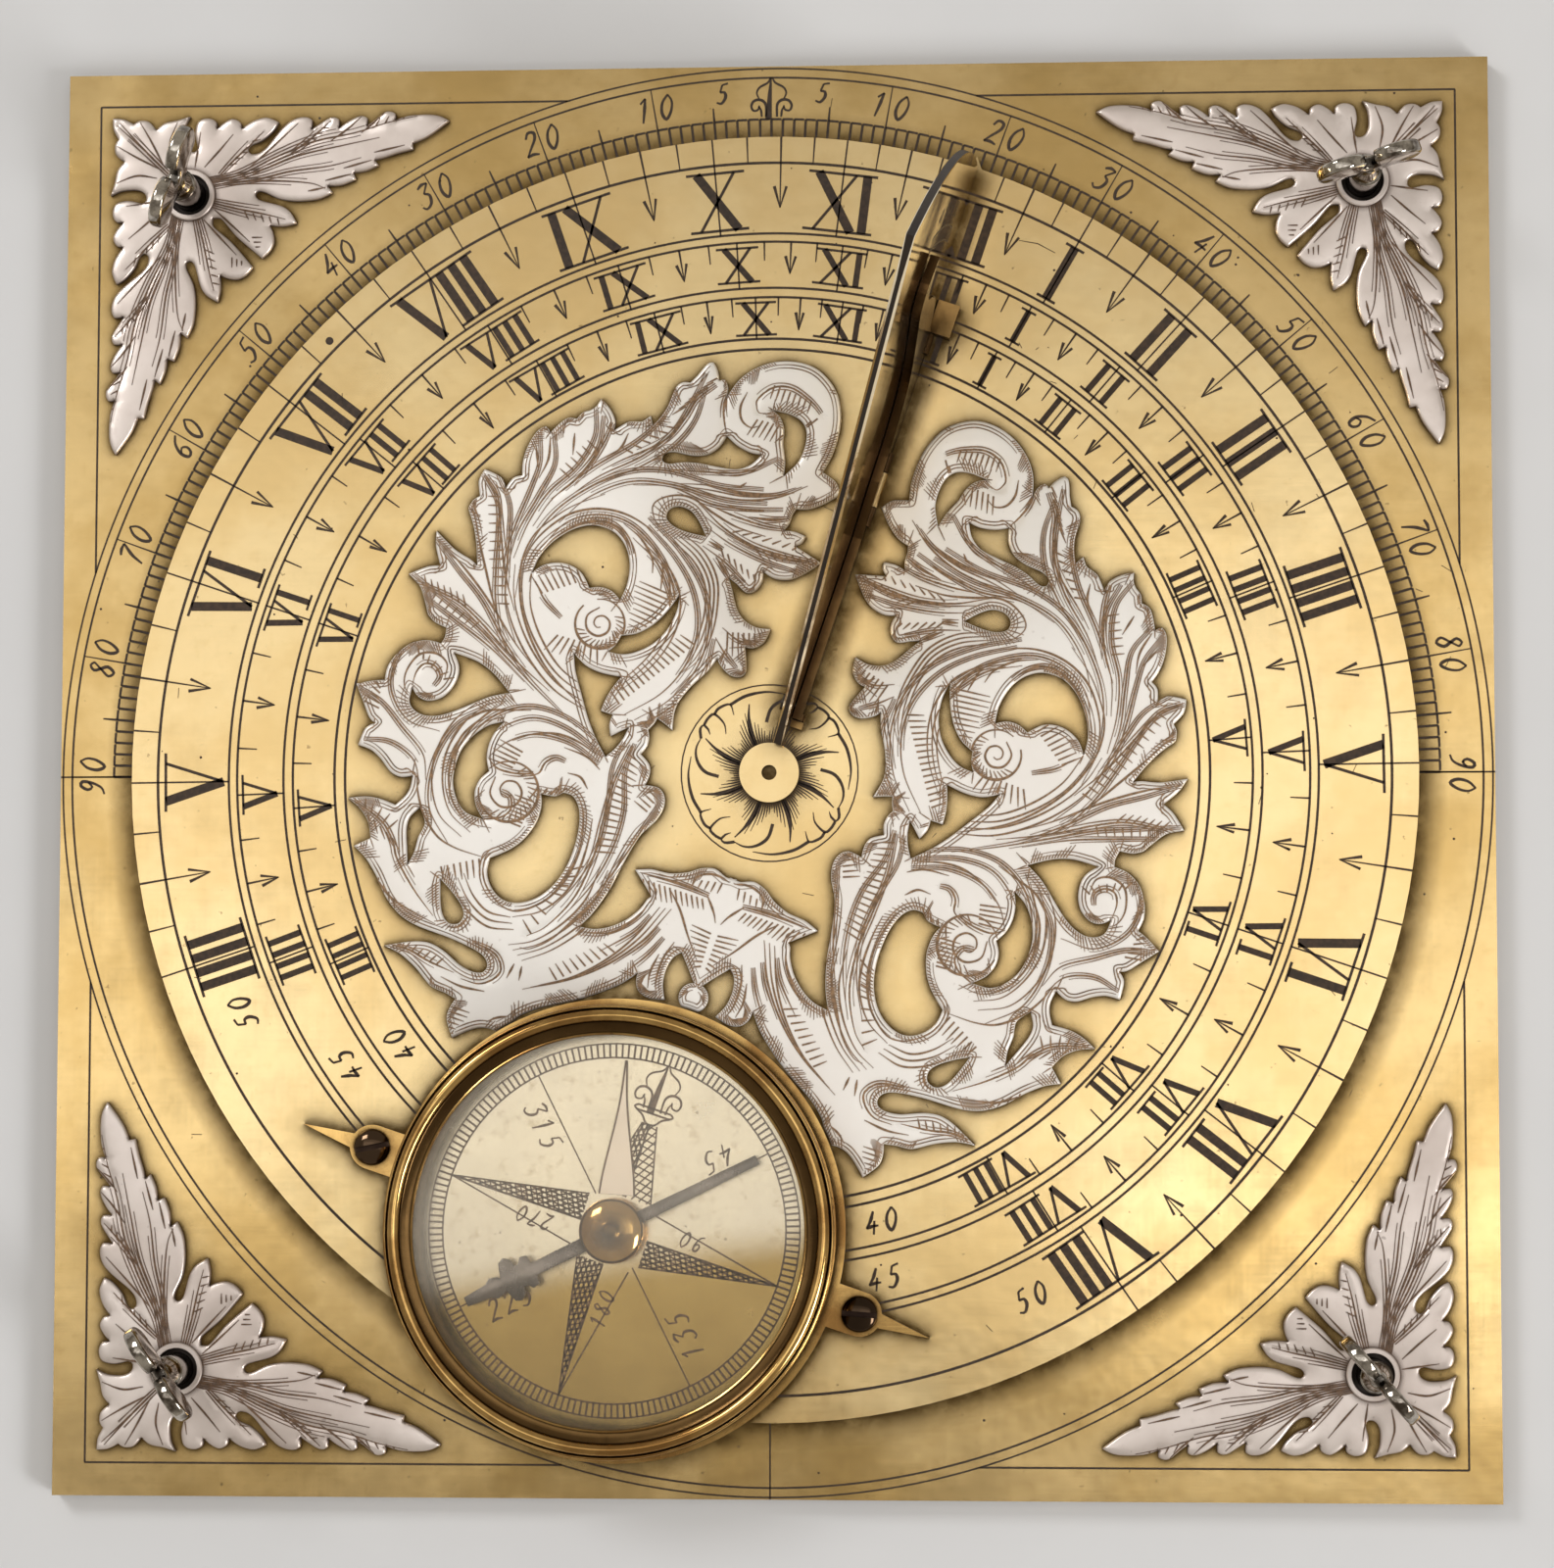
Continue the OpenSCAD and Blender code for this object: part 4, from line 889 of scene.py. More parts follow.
def refine(loop, step):
    """The closed loop, its smooth stretches rounded and cut into short steps; the silver lies on its left"""
    given = [Vector(p) for p in loop]
    count = len(given)

    def sharp(i):
        a, b = given[i] - given[i - 1], given[(i + 1) % count] - given[i]
        return abs(math.degrees(a.angle_signed(b, 0.0))) > SHARP_TURN

    corners = [sharp(i) for i in range(count)]
    made = []
    for i in range(count):
        b, c = given[i], given[(i + 1) % count]
        chord = c - b
        length = chord.length
        m = chord if corners[i] else (c - given[i - 1]).normalized() * length
        n = chord if corners[(i + 1) % count] else (given[(i + 2) % count] - b).normalized() * length
        pieces = max(1, math.ceil(length / step))
        for k in range(pieces):
            t = k / pieces
            p = (b * (2 * t ** 3 - 3 * t * t + 1) + m * (t ** 3 - 2 * t * t + t)
                 + c * (3 * t * t - 2 * t ** 3) + n * (t ** 3 - t * t))
            made.append((p.x, p.y))
    return made


def tree_of(points):
    tree = kdtree.KDTree(len(points))
    for i, (x, y) in enumerate(points):
        tree.insert((x, y, 0), i)
    tree.balance()
    return tree


def crossings(starts, ends, y):
    """Where the edges between two arrays of points cross a level"""
    hit = (starts[:, 1] > y) != (ends[:, 1] > y)
    a, b = starts[hit], ends[hit]
    return a[:, 0] + (y - a[:, 1]) * (b[:, 0] - a[:, 0]) / (b[:, 1] - a[:, 1])


def edge_arrays(loops):
    starts = np.array([p for loop in loops for p in loop])
    return starts, np.array([p for loop in loops for p in loop[1:] + loop[:1]])


def inside_mask(loops, low, high, cell):
    """A grid that is true inside the loops, by even and odd crossings along each row"""
    columns, rows = int((high[0] - low[0]) / cell) + 2, int((high[1] - low[1]) / cell) + 2
    starts, ends = edge_arrays(loops)
    mask = np.zeros((rows, columns), bool)
    xs = low[0] + cell * np.arange(columns)
    for row in range(rows):
        cross = crossings(starts, ends, low[1] + cell * row + 1e-6)
        mask[row] = (np.searchsorted(np.sort(cross), xs) % 2) == 1
    return mask


class Relief:
    """A flat ornament with rounded edges, a crown and shallow valleys under its veins"""
    edge_r = 0.22
    insets = (0.07, 0.15, 0.26, 0.7)
    mask_cell = 0.1
    near_cell = 0.25
    fill = 0.75

    def __init__(self, name, turn, centre, thick, crown, valleys, step=0.4):
        self.thick, self.crown = thick, crown
        self.loops = [refine(loop, step) for loop in flat_loops(name, turn, centre)]
        dense = [p for loop in self.loops for p in refine(loop, 0.12)]
        self.edge = tree_of(dense)
        self.valley = tree_of([p for line in valleys for p in curve(line, 0.15)] or [(1e6, 1e6)])
        self.low = [min(p[k] for p in dense) - 0.5 for k in (0, 1)]
        self.high = [max(p[k] for p in dense) + 0.5 for k in (0, 1)]
        self.mask = inside_mask(self.loops, self.low, self.high, self.mask_cell)
        self.points, self.taken = [], {}
        rims = []
        for loop in self.loops:
            first = len(self.points)
            self.points += loop
            rims += [(first + i, first + (i + 1) % len(loop)) for i in range(len(loop))]
        self.scatter(valleys)
        made = delaunay_2d_cdt([Vector(p) for p in self.points], rims, [], 0, 1e-5)
        self.spots = [(v.x, v.y) for v in made[0]]
        self.rim_arrays = edge_arrays(self.loops)
        self.triangles = [tuple(face) for face in made[2] if self.holds(face)]

    def scatter(self, valleys):
        """Offers points along the edges, along the valleys and over the rest"""
        for inset in self.insets:
            for loop in self.loops:
                for i in range(len(loop)):
                    self.offer(aside_of(loop, i, -inset, True), 0.93 * inset, min(0.24, 0.1 + 0.3 * inset))
        for line in valleys:
            path = curve(line, 0.35)
            for i in range(len(path)):
                for aside in (0, 0.3, -0.3):
                    self.offer(aside_of(path, i, aside), 0.3, 0.16)
        across, up = self.fill, self.fill * 0.87
        for row in range(int((self.high[1] - self.low[1]) / up)):
            for column in range(int((self.high[0] - self.low[0]) / across)):
                spot = (self.low[0] + across * (column + 0.5 * (row % 2)), self.low[1] + up * row)
                self.offer(spot, 0.8, 0.24)

    def offer(self, spot, clear, spacing):
        """Takes a point that lies on the silver, clear of its edge and of the points taken before"""
        x, y = spot
        if self.edge.find((x, y, 0))[2] <= clear:
            return
        row, column = (int(round((spot[k] - self.low[k]) / self.mask_cell)) for k in (1, 0))
        rows, columns = self.mask.shape
        if not (0 <= row < rows and 0 <= column < columns and self.mask[row, column]):
            return
        cell = (int(x // self.near_cell), int(y // self.near_cell))
        for i in (-1, 0, 1):
            for k in (-1, 0, 1):
                for other in self.taken.get((cell[0] + i, cell[1] + k), ()):
                    if (other[0] - x) ** 2 + (other[1] - y) ** 2 < spacing * spacing:
                        return
        self.taken.setdefault(cell, []).append(spot)
        self.points.append(spot)

    def holds(self, face):
        """Whether a triangle lies on the silver: a line from its middle crosses an odd number of rims"""
        x, y = (sum(self.spots[i][k] for i in face) / 3 for k in (0, 1))
        return np.count_nonzero(crossings(*self.rim_arrays, y) > x) % 2 == 1

    def height(self, x, y):
        """Height of the silver's surface above the plate"""
        d = self.edge.find((x, y, 0))[2]
        z = self.thick + self.crown * (1 - math.exp(-d / 1.1))
        if d < self.edge_r:
            z -= self.edge_r * (1 - math.sqrt(max(0.0, 1 - ((self.edge_r - d) / self.edge_r) ** 2)))
        near = self.valley.find((x, y, 0))[2]
        return z - 0.13 * max(0.0, 1 - near / 0.42) ** 1.5

    def piece(self, name, put, material, body, slot, node_name):
        """Makes the mesh: the crowned top, the wall round every edge and the flat underside"""
        count = len(self.spots)
        tops = [self.height(x, y) for x, y in self.spots]
        verts = [put(x, y, z) for (x, y), z in zip(self.spots, tops)]
        verts += [put(x, y, 0.0) for x, y in self.spots]
        sides = {}
        faces = []
        for a, b, c in self.triangles:
            area = ((self.spots[b][0] - self.spots[a][0]) * (self.spots[c][1] - self.spots[a][1])
                    - (self.spots[c][0] - self.spots[a][0]) * (self.spots[b][1] - self.spots[a][1]))
            face = (a, b, c) if area > 0 else (a, c, b)
            faces.append(face)
            faces.append(tuple(count + i for i in reversed(face)))
            for i in range(3):
                sides[(face[i], face[(i + 1) % 3])] = True
        for a, b in sides:
            if (b, a) not in sides:
                faces.append((b, a, count + a, count + b))
        made = mesh_piece(name, verts, faces, material, body, smooth=True)
        made.data.set_sharp_from_angle(angle=math.radians(60))
        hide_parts(node_name)
        return made


def between(a, b, t):
    """The point at a share of the way from a to b"""
    return (a[0] + (b[0] - a[0]) * t, a[1] + (b[1] - a[1]) * t)


def densify(points, step):
    """A straight line cut into short steps"""
    count = max(1, math.ceil(math.dist(*points) / step))
    return [between(*points, i / count) for i in range(count + 1)]


class Chasing(Engraving):
    """Cuts in a silver ornament: they follow its crowned surface and stop where it stops"""
    proud = 0.035
    look_from = 4.0
    lowest = 0.35

    def __init__(self, put, piece, flips):
        super().__init__(put, self.level)
        corners = [v.co.copy() for v in piece.data.vertices]
        self.tree = BVHTree.FromPolygons(corners, [tuple(p.vertices) for p in piece.data.polygons])
        self.flips = flips

    def level(self, x, y):
        """Height of the silver above its plate, or None beside it"""
        start = Vector(self.put(x, y, self.look_from))
        hit = self.tree.ray_cast(start, (0, 0, -1), (self.look_from - self.lowest) * MM)[0]
        return None if hit is None else self.look_from - (start.z - hit.z) / MM

    def cut(self, points, width, start=0.25, end=0.15):
        """A tapering cut through the points, once for each flip of the drawing"""
        path = curve(points, 0.22) if len(points) > 2 else densify(points, 0.22)
        shares = [min(1.0, start + (1 - start) * t / 0.3) * min(1.0, end + (1 - end) * (1 - t) / 0.5)
                  for t in (i / (len(path) - 1) for i in range(len(path)))]
        for flip in self.flips:
            run, widths = [], []
            for p, share in zip(path + [None], shares + [0]):
                spot = flip(*p) if p else None
                if spot and self.level(*spot) is not None:
                    run.append(spot)
                    widths.append(share * width)
                    continue
                if len(run) > 1:
                    self.line(run, widths)
                run, widths = [], []

    def spray(self, points, width, count, spread):
        """Finer lines on both sides of a vein, that leave it at its root and end sooner"""
        path = curve(points, 0.3)
        for side in (-1, 1):
            for k in range(1, count + 1):
                share = 0.9 - 0.18 * k + 0.12 * random.random()
                keep = min(len(path), max(3, int(len(path) * share)))
                gap = side * k * spread
                line = [aside_of(path, i, gap * (0.45 + 0.55 * i / len(path))) for i in range(keep)]
                self.cut(line[::3] if len(line) > 8 else line, width, 0.7, 0.15)

    def shade_edges(self, relief, share, reach=1.5, spacing=0.4, width=0.13):
        """Shading along the outline: short slanting cuts in some stretches, lines in others"""
        for loop in relief.loops:
            path = refine(loop, spacing)
            row = []
            for i in range(len(path) + 1):
                x, y = path[i % len(path)]
                wave = math.sin(0.42 * x + 0.31 * y + 1.3) + math.sin(0.23 * x - 0.52 * y + 0.4)
                cuts = wave > 1.4 - 2.4 * share
                if cuts and i < len(path):
                    self.slant(relief, path, i, reach * (0.6 + 0.4 * math.sin(0.9 * x + 1.1 * y)), width)
                if not cuts and i < len(path):
                    row.append(i)
                    continue
                for inset in (0.42, 0.8):
                    self.follow(relief, path, row, inset, width)
                row = []

    def slant(self, relief, path, i, reach, width):
        """A short cut inward from the outline, slanting, no further than the middle of the leaf"""
        dx, dy = heading(path, i, True)
        lean, step = 0.7, 0.15
        way = (-dy + lean * dx, dx + lean * dy)
        x, y = path[i][0] + way[0] * 0.1, path[i][1] + way[1] * 0.1
        deep, steps = 0.0, 0
        while steps * step < reach:
            d = relief.edge.find((x + way[0] * step * steps, y + way[1] * step * steps, 0))[2]
            if d < deep - 0.02:
                break
            deep, steps = max(deep, d), steps + 1
        far = step * steps * (0.85 + 0.15 * random.random())
        if far > 0.35:
            self.cut([(x, y), (x + way[0] * far, y + way[1] * far)], width, 1.0, 0.3)

    def follow(self, relief, path, row, inset, width):
        """A cut that keeps inset millimetres from a stretch of the outline"""
        run = []
        for i in [*row, None]:
            if i is not None:
                spot = aside_of(path, i, -inset)
                if relief.edge.find((*spot, 0))[2] > 0.9 * inset:
                    run.append(spot)
                    continue
            if len(run) > 9:
                self.cut(run[::2], width, 0.2, 0.15)
            run = []

    def bundle(self, first, last, count, width):
        """Flowing lines between two lines of as many points"""
        for k in range(count):
            t = k / (count - 1)
            self.cut([between(a, b, t) for a, b in zip(first, last)], width)

    def rake(self, first, last, count, width=0.17):
        """Short cuts from one (foot, tip) to another"""
        for k in range(count):
            t = k / (count - 1)
            foot, tip = (between(a, b, t) for a, b in zip(first, last))
            # The spare draw keeps the order of the draws, on which every later cut depends
            _spare, shortening = random.random(), random.random()
            self.cut([foot, between(foot, tip, 1 - 0.12 * shortening)], width, 1.0, 0.3)


# The east half of the scroll's drawing, in millimetres from the dial's centre with noon up. Folds are wide.
SCROLL_FOLDS = [
    [(7.4, 40.3), (8.8, 41.2), (11.4, 42.0), (13.5, 41.4), (14.7, 39.7), (14.6, 38.8), (14.1, 38.2),
     (13.3, 38.4)],
    [(18.3, 38.8), (18.1, 37.5), (17.5, 36.0), (16.9, 34.9)],
    [(7.1, 27.8), (8.9, 27.1), (11.4, 26.6)],
    [(7.4, 26.5), (9.5, 26.2), (12.9, 26.2), (16.0, 26.5)],
    [(2.3, 24.1), (6.2, 23.7), (10.2, 23.7), (13.8, 24.6), (17.2, 26.3)],
    [(11.4, 19.4), (13.5, 21.2)],
    [(13.0, 22.2), (14.8, 22.6)],
    [(22.6, 18.5), (23.7, 20.0), (25.5, 21.0), (27.4, 20.9), (29.5, 19.8), (31.5, 17.6), (32.8, 15.0)],
    [(19.7, 39.7), (21.2, 37.5), (21.8, 35.1), (22.8, 32.6), (24.6, 30.5), (27.1, 28.3), (28.9, 26.5)],
    [(29.5, 32.0), (29.7, 29.5), (30.5, 26.5), (31.7, 24.0), (33.2, 21.8)],
    [(41.2, 21.8), (39.4, 20.3), (38.2, 17.8), (36.9, 14.8), (35.4, 11.7), (33.2, 8.3)],
    [(45.5, 7.8), (42.5, 7.7), (39.4, 7.2), (36.3, 5.8), (33.2, 4.0), (30.2, 2.5), (26.5, 0.9)],
    [(15.7, -2.0), (16.2, -6.5), (16.0, -11.2), (15.7, -15.5), (16.3, -20.2), (18.2, -24.2), (20.0, -26.0)],
    [(22.2, -6.0), (23.4, -6.0), (24.3, -6.9), (24.6, -8.2), (25.5, -8.8)],
    [(25.2, -8.5), (27.1, -9.1), (29.2, -9.2), (30.5, -8.5)],
    [(28.0, -11.5), (26.8, -11.8), (26.3, -13.1), (27.1, -14.3), (28.9, -15.2)],
    [(44.0, -17.7), (41.5, -18.3), (39.4, -19.2), (37.8, -20.8), (36.6, -22.6), (33.8, -25.1), (30.8, -27.2)],
    [(34.5, -31.8), (32.0, -31.7), (29.5, -32.2), (26.5, -32.5)],
    [(2.0, -15.2), (5.5, -15.0), (10.2, -15.2)],
    [(39.1, -2.6), (38.8, -1.4), (39.7, -0.5), (40.9, -0.6), (41.5, -1.7), (41.5, -3.2)],
    [(25.5, -28.6), (23.4, -28.8), (22.2, -29.4), (21.5, -30.6), (22.0, -31.8), (23.4, -32.8), (25.5, -32.9)],
]
# Thin lines
SCROLL_LINES = [
    [(16.1, 40.0), (16.3, 38.2), (15.7, 36.8), (14.5, 36.3), (13.5, 36.8)],
    [(7.4, 30.8), (10.2, 29.5), (13.8, 28.7), (17.8, 28.5)],
    [(10.0, 27.8), (12.3, 27.2), (14.5, 27.1)],
    [(12.9, 30.2), (13.5, 29.5), (14.3, 29.3)],
    [(8.9, 25.1), (12.3, 25.1), (15.4, 25.8), (17.8, 26.6), (19.7, 26.5), (21.5, 25.5), (22.1, 24.3),
     (21.2, 22.8), (19.7, 21.8)],
    [(19.1, 20.6), (21.5, 21.8), (24.0, 22.5), (26.5, 22.5), (28.9, 21.8), (31.1, 20.3), (32.9, 17.8),
     (33.8, 15.4), (33.8, 12.9), (33.1, 10.5)],
    [(19.7, 17.2), (20.3, 18.8), (22.2, 20.5), (24.6, 21.5)],
    [(18.2, 15.7), (18.8, 18.2), (19.7, 19.4)],
    [(27.4, 31.4), (27.7, 29.5), (28.9, 28.0)],
    [(33.2, 29.5), (32.6, 27.1)],
    [(35.7, 28.3), (35.1, 25.8), (35.4, 23.4)],
    [(36.9, 26.8), (35.8, 24.3)],
    [(40.9, 16.9), (39.7, 14.8), (37.8, 11.7), (35.4, 8.0), (32.6, 4.9)],
    [(44.3, 13.2), (41.2, 11.7), (38.2, 9.8), (35.4, 7.7), (32.0, 4.9), (28.9, 2.8)],
    [(21.5, 0.0), (26.5, 2.5), (29.5, 4.9), (32.0, 8.0), (33.5, 11.1), (34.2, 14.2), (33.8, 17.2),
     (32.3, 19.7), (30.5, 21.8), (27.7, 24.0)],
    [(18.5, -10.3), (17.7, -13.1), (17.5, -15.5), (17.8, -18.0), (18.8, -20.8), (20.3, -22.6), (22.2, -23.8),
     (24.3, -23.5), (26.2, -22.0), (27.1, -20.5)],
    [(17.2, -11.2), (16.8, -14.0), (16.8, -17.4), (17.5, -20.2), (19.4, -22.9), (22.2, -24.5)],
    [(19.1, -4.2), (21.5, -3.5), (24.0, -3.4), (26.5, -4.2), (28.6, -5.7)],
    [(18.2, -5.7), (20.0, -4.8), (22.8, -4.6)],
    [(18.8, -8.2), (20.0, -7.2), (21.5, -7.2)],
    [(30.8, -1.7), (32.6, -4.2), (34.2, -6.9), (34.5, -10.0), (33.8, -12.8), (32.3, -14.9), (30.2, -16.0),
     (27.7, -15.8)],
    [(27.7, -1.8), (30.2, -2.6), (32.6, -3.5), (34.5, -5.4), (35.4, -7.8)],
    [(38.2, -1.4), (38.5, 0.2), (40.0, 0.9), (41.8, 0.2), (42.6, -2.0), (42.2, -3.8), (40.9, -4.6)],
    [(41.5, -22.8), (39.4, -24.2), (36.3, -26.6), (33.2, -27.5), (30.2, -28.0)],
    [(37.8, -12.2), (36.9, -14.6), (35.4, -16.8), (33.2, -18.6), (30.8, -19.2), (27.7, -19.2)],
    [(26.9, -26.0), (27.7, -27.5), (28.9, -27.8)],
    [(8.0, -17.7), (8.9, -20.2), (11.1, -22.6), (14.2, -23.7)],
    [(13.2, -15.5), (13.8, -19.2), (15.4, -22.3), (17.2, -25.4), (19.1, -27.2), (20.3, -27.5)],
    [(22.5, -33.4), (25.2, -33.7), (27.7, -33.4)],
    [(19.4, -29.4), (19.2, -31.0)],
    [(20.3, -29.4), (20.6, -31.2)],
    [(19.1, -35.2), (20.3, -35.8), (21.2, -36.6)],
    [(0.3, -13.1), (1.5, -12.8), (3.1, -13.0), (4.3, -14.2)],
    [(2.2, -15.2), (0.9, -16.8), (0.3, -17.9)],
    [(6.5, -15.8), (4.6, -17.7), (2.8, -20.2), (0.9, -22.6)],
    [(4.0, -21.4), (4.6, -23.5), (4.6, -26.0), (4.0, -27.8)],
    [(5.2, -23.2), (5.5, -25.4), (5.2, -27.2)],
]
# Flowing lines between two lines, and how many
SCROLL_BUNDLES = [
    ([(6.2, 32.0), (8.9, 29.8), (12.3, 28.3), (16.0, 27.7), (19.7, 27.4)],
     [(7.4, 31.4), (9.8, 29.9), (13.2, 29.0), (16.9, 28.6), (20.6, 27.6)], 3),
    ([(19.7, 21.8), (16.0, 20.1), (13.8, 18.0), (12.8, 15.4), (12.5, 12.6), (12.8, 9.8), (13.5, 7.1)],
     [(18.2, 22.6), (15.0, 21.3), (12.6, 18.9), (11.5, 15.8), (11.1, 12.6), (11.5, 9.8), (12.6, 7.8)], 4),
    ([(22.8, 21.0), (19.0, 19.0), (16.3, 16.4), (15.2, 13.2), (15.4, 10.0), (16.6, 6.8), (18.8, 3.6)],
     [(21.4, 19.6), (18.2, 17.8), (16.9, 15.0), (16.4, 12.0), (16.8, 9.0), (18.2, 6.0), (20.2, 3.2)], 3),
    ([(21.5, 0.0), (26.0, 1.2), (29.8, 3.6), (32.8, 6.6), (34.8, 9.8), (35.8, 13.0)],
     [(22.5, 2.4), (26.2, 3.8), (29.2, 6.2), (31.4, 9.0), (32.4, 11.6), (32.8, 13.8)], 4),
    ([(6.8, -18.2), (8.3, -22.0), (10.5, -25.5), (13.5, -28.6), (16.9, -30.8)],
     [(5.5, -18.0), (7.4, -22.3), (10.2, -26.0), (13.8, -29.1), (18.5, -31.8)], 3),
    ([(14.6, -16.0), (15.0, -20.0), (16.6, -23.4), (19.0, -26.2), (21.6, -27.6)],
     [(11.8, -16.4), (12.4, -20.0), (14.2, -23.4), (16.8, -26.6), (19.6, -28.8)], 4),
    ([(33.6, -2.6), (35.6, -5.6), (36.4, -9.4), (35.8, -13.0), (33.8, -16.2), (30.6, -17.8)],
     [(31.6, -2.4), (33.4, -5.6), (34.2, -9.0), (33.4, -12.4), (31.6, -15.0), (29.0, -16.2)], 3),
    ([(22.4, -24.6), (25.0, -24.8), (27.2, -23.6), (29.0, -21.6)],
     [(21.6, -25.8), (24.6, -26.4), (27.6, -25.2), (30.0, -23.0)], 3),
]
# Rows of short cuts, each from one (foot, tip) to another, and how many
SCROLL_RAKES = [
    (((8.9, 41.3), (8.9, 39.6)), ((13.4, 41.7), (13.4, 39.9)), 8),
    (((11.5, 37.6), (11.9, 35.4)), ((14.0, 37.4), (14.6, 35.2)), 5),
    (((7.6, 39.6), (9.0, 37.4)), ((10.4, 37.2), (11.4, 35.4)), 6),
    (((3.7, 24.2), (2.9, 23.4)), ((9.5, 23.4), (8.2, 22.5)), 8),
    (((4.4, 24.6), (3.8, 25.4)), ((12.6, 24.4), (11.4, 25.0)), 8),
    (((8.8, 20.6), (8.3, 19.7)), ((13.2, 22.2), (12.3, 20.9)), 6),
    (((6.0, 14.5), (5.7, 13.8)), ((9.5, 13.5), (8.6, 10.5)), 7),
    (((12.6, 11.0), (14.6, 11.6)), ((18.5, 2.0), (20.3, 3.4)), 16),
    (((19.7, 40.6), (20.9, 39.4)), ((22.2, 36.3), (23.4, 34.9)), 7),
    (((22.4, 33.6), (24.0, 33.4)), ((26.2, 29.4), (27.6, 29.6)), 6),
    (((30.4, 28.6), (31.6, 29.2)), ((32.2, 24.6), (33.6, 25.2)), 6),
    (((39.0, 20.0), (40.4, 19.6)), ((36.6, 14.4), (38.2, 13.8)), 7),
    (((36.4, 13.4), (37.8, 12.9)), ((34.0, 8.8), (35.4, 8.4)), 6),
    (((43.6, 7.8), (44.2, 8.9)), ((38.6, 7.0), (39.4, 8.3)), 7),
    (((43.2, 7.6), (43.4, 6.6)), ((36.6, 5.8), (37.2, 4.8)), 8),
    (((26.5, 14.2), (28.3, 16.4)), ((30.8, 11.1), (32.6, 12.6)), 9),
    (((17.0, 15.5), (21.3, 15.9)), ((17.4, 10.5), (20.7, 10.9)), 9),
    (((23.0, 7.4), (22.2, 5.2)), ((27.6, 7.2), (28.6, 5.0)), 8),
    (((10.8, -6.2), (12.2, -5.4)), ((11.6, -8.5), (13.4, -7.8)), 5),
    (((15.9, -3.0), (14.0, -3.6)), ((15.7, -14.6), (13.4, -14.0)), 16),
    (((16.4, -16.6), (18.0, -17.6)), ((19.6, -25.6), (21.0, -24.4)), 8),
    (((27.1, -6.6), (30.2, -6.0)), ((27.6, -8.6), (30.8, -8.4)), 5),
    (((24.2, -11.5), (26.5, -11.4)), ((24.6, -14.6), (26.6, -14.5)), 8),
    (((21.0, -8.8), (22.4, -10.6)), ((24.2, -10.0), (24.8, -11.6)), 4),
    (((38.3, -1.6), (37.1, -1.0)), ((41.8, 0.1), (42.4, 1.3)), 7),
    (((44.8, -4.8), (46.0, -4.0)), ((44.2, -7.0), (47.0, -6.6)), 5),
    (((43.2, -17.9), (42.8, -19.4)), ((38.0, -20.4), (36.6, -21.6)), 7),
    (((42.0, -18.1), (42.4, -16.8)), ((38.8, -19.6), (38.0, -18.2)), 5),
    (((40.4, -23.4), (40.2, -24.8)), ((35.6, -26.8), (35.0, -28.2)), 7),
    (((31.7, -21.7), (30.8, -23.2)), ((27.9, -19.5), (27.0, -21.6)), 7),
    (((10.0, -24.6), (11.6, -24.0)), ((15.2, -29.6), (16.6, -28.4)), 9),
    (((33.4, -31.6), (33.0, -30.6)), ((28.6, -32.2), (28.0, -31.2)), 7),
    (((25.5, -36.2), (23.1, -36.2)), ((25.2, -39.0), (24.3, -39.0)), 6),
    (((0.4, -19.2), (3.0, -18.9)), ((0.3, -23.0), (1.2, -23.4)), 8),
    (((2.6, -15.8), (2.0, -17.0)), ((9.6, -15.8), (8.6, -17.8)), 12),
    (((1.0, -13.4), (1.2, -14.8)), ((4.0, -14.0), (4.2, -15.0)), 5),
]


# Flowing lines that run from the leaves' tips down into the stems. They are kept as they were read, in pixels
# of a view that shows the photograph VIEW_ZOOM times as large. VIEW_CENTRE is the dial's centre in the
# photograph's pixels from that view's top left corner. Noon's turn has these few digits.
VIEW_ZOOM = 2.1
VIEW_CENTRE = (411, 417)
PIXEL_MM = 0.1108
NOON_COS = 0.9478
NOON_SIN = 0.319


def from_view(u, v):
    """A point of the view, to a tenth of a millimetre east and north of the dial's centre"""
    across = (u / VIEW_ZOOM - VIEW_CENTRE[0]) * PIXEL_MM
    up = (VIEW_CENTRE[1] - v / VIEW_ZOOM) * PIXEL_MM
    return (round(across * NOON_COS - up * NOON_SIN, 1), round(across * NOON_SIN + up * NOON_COS, 1))


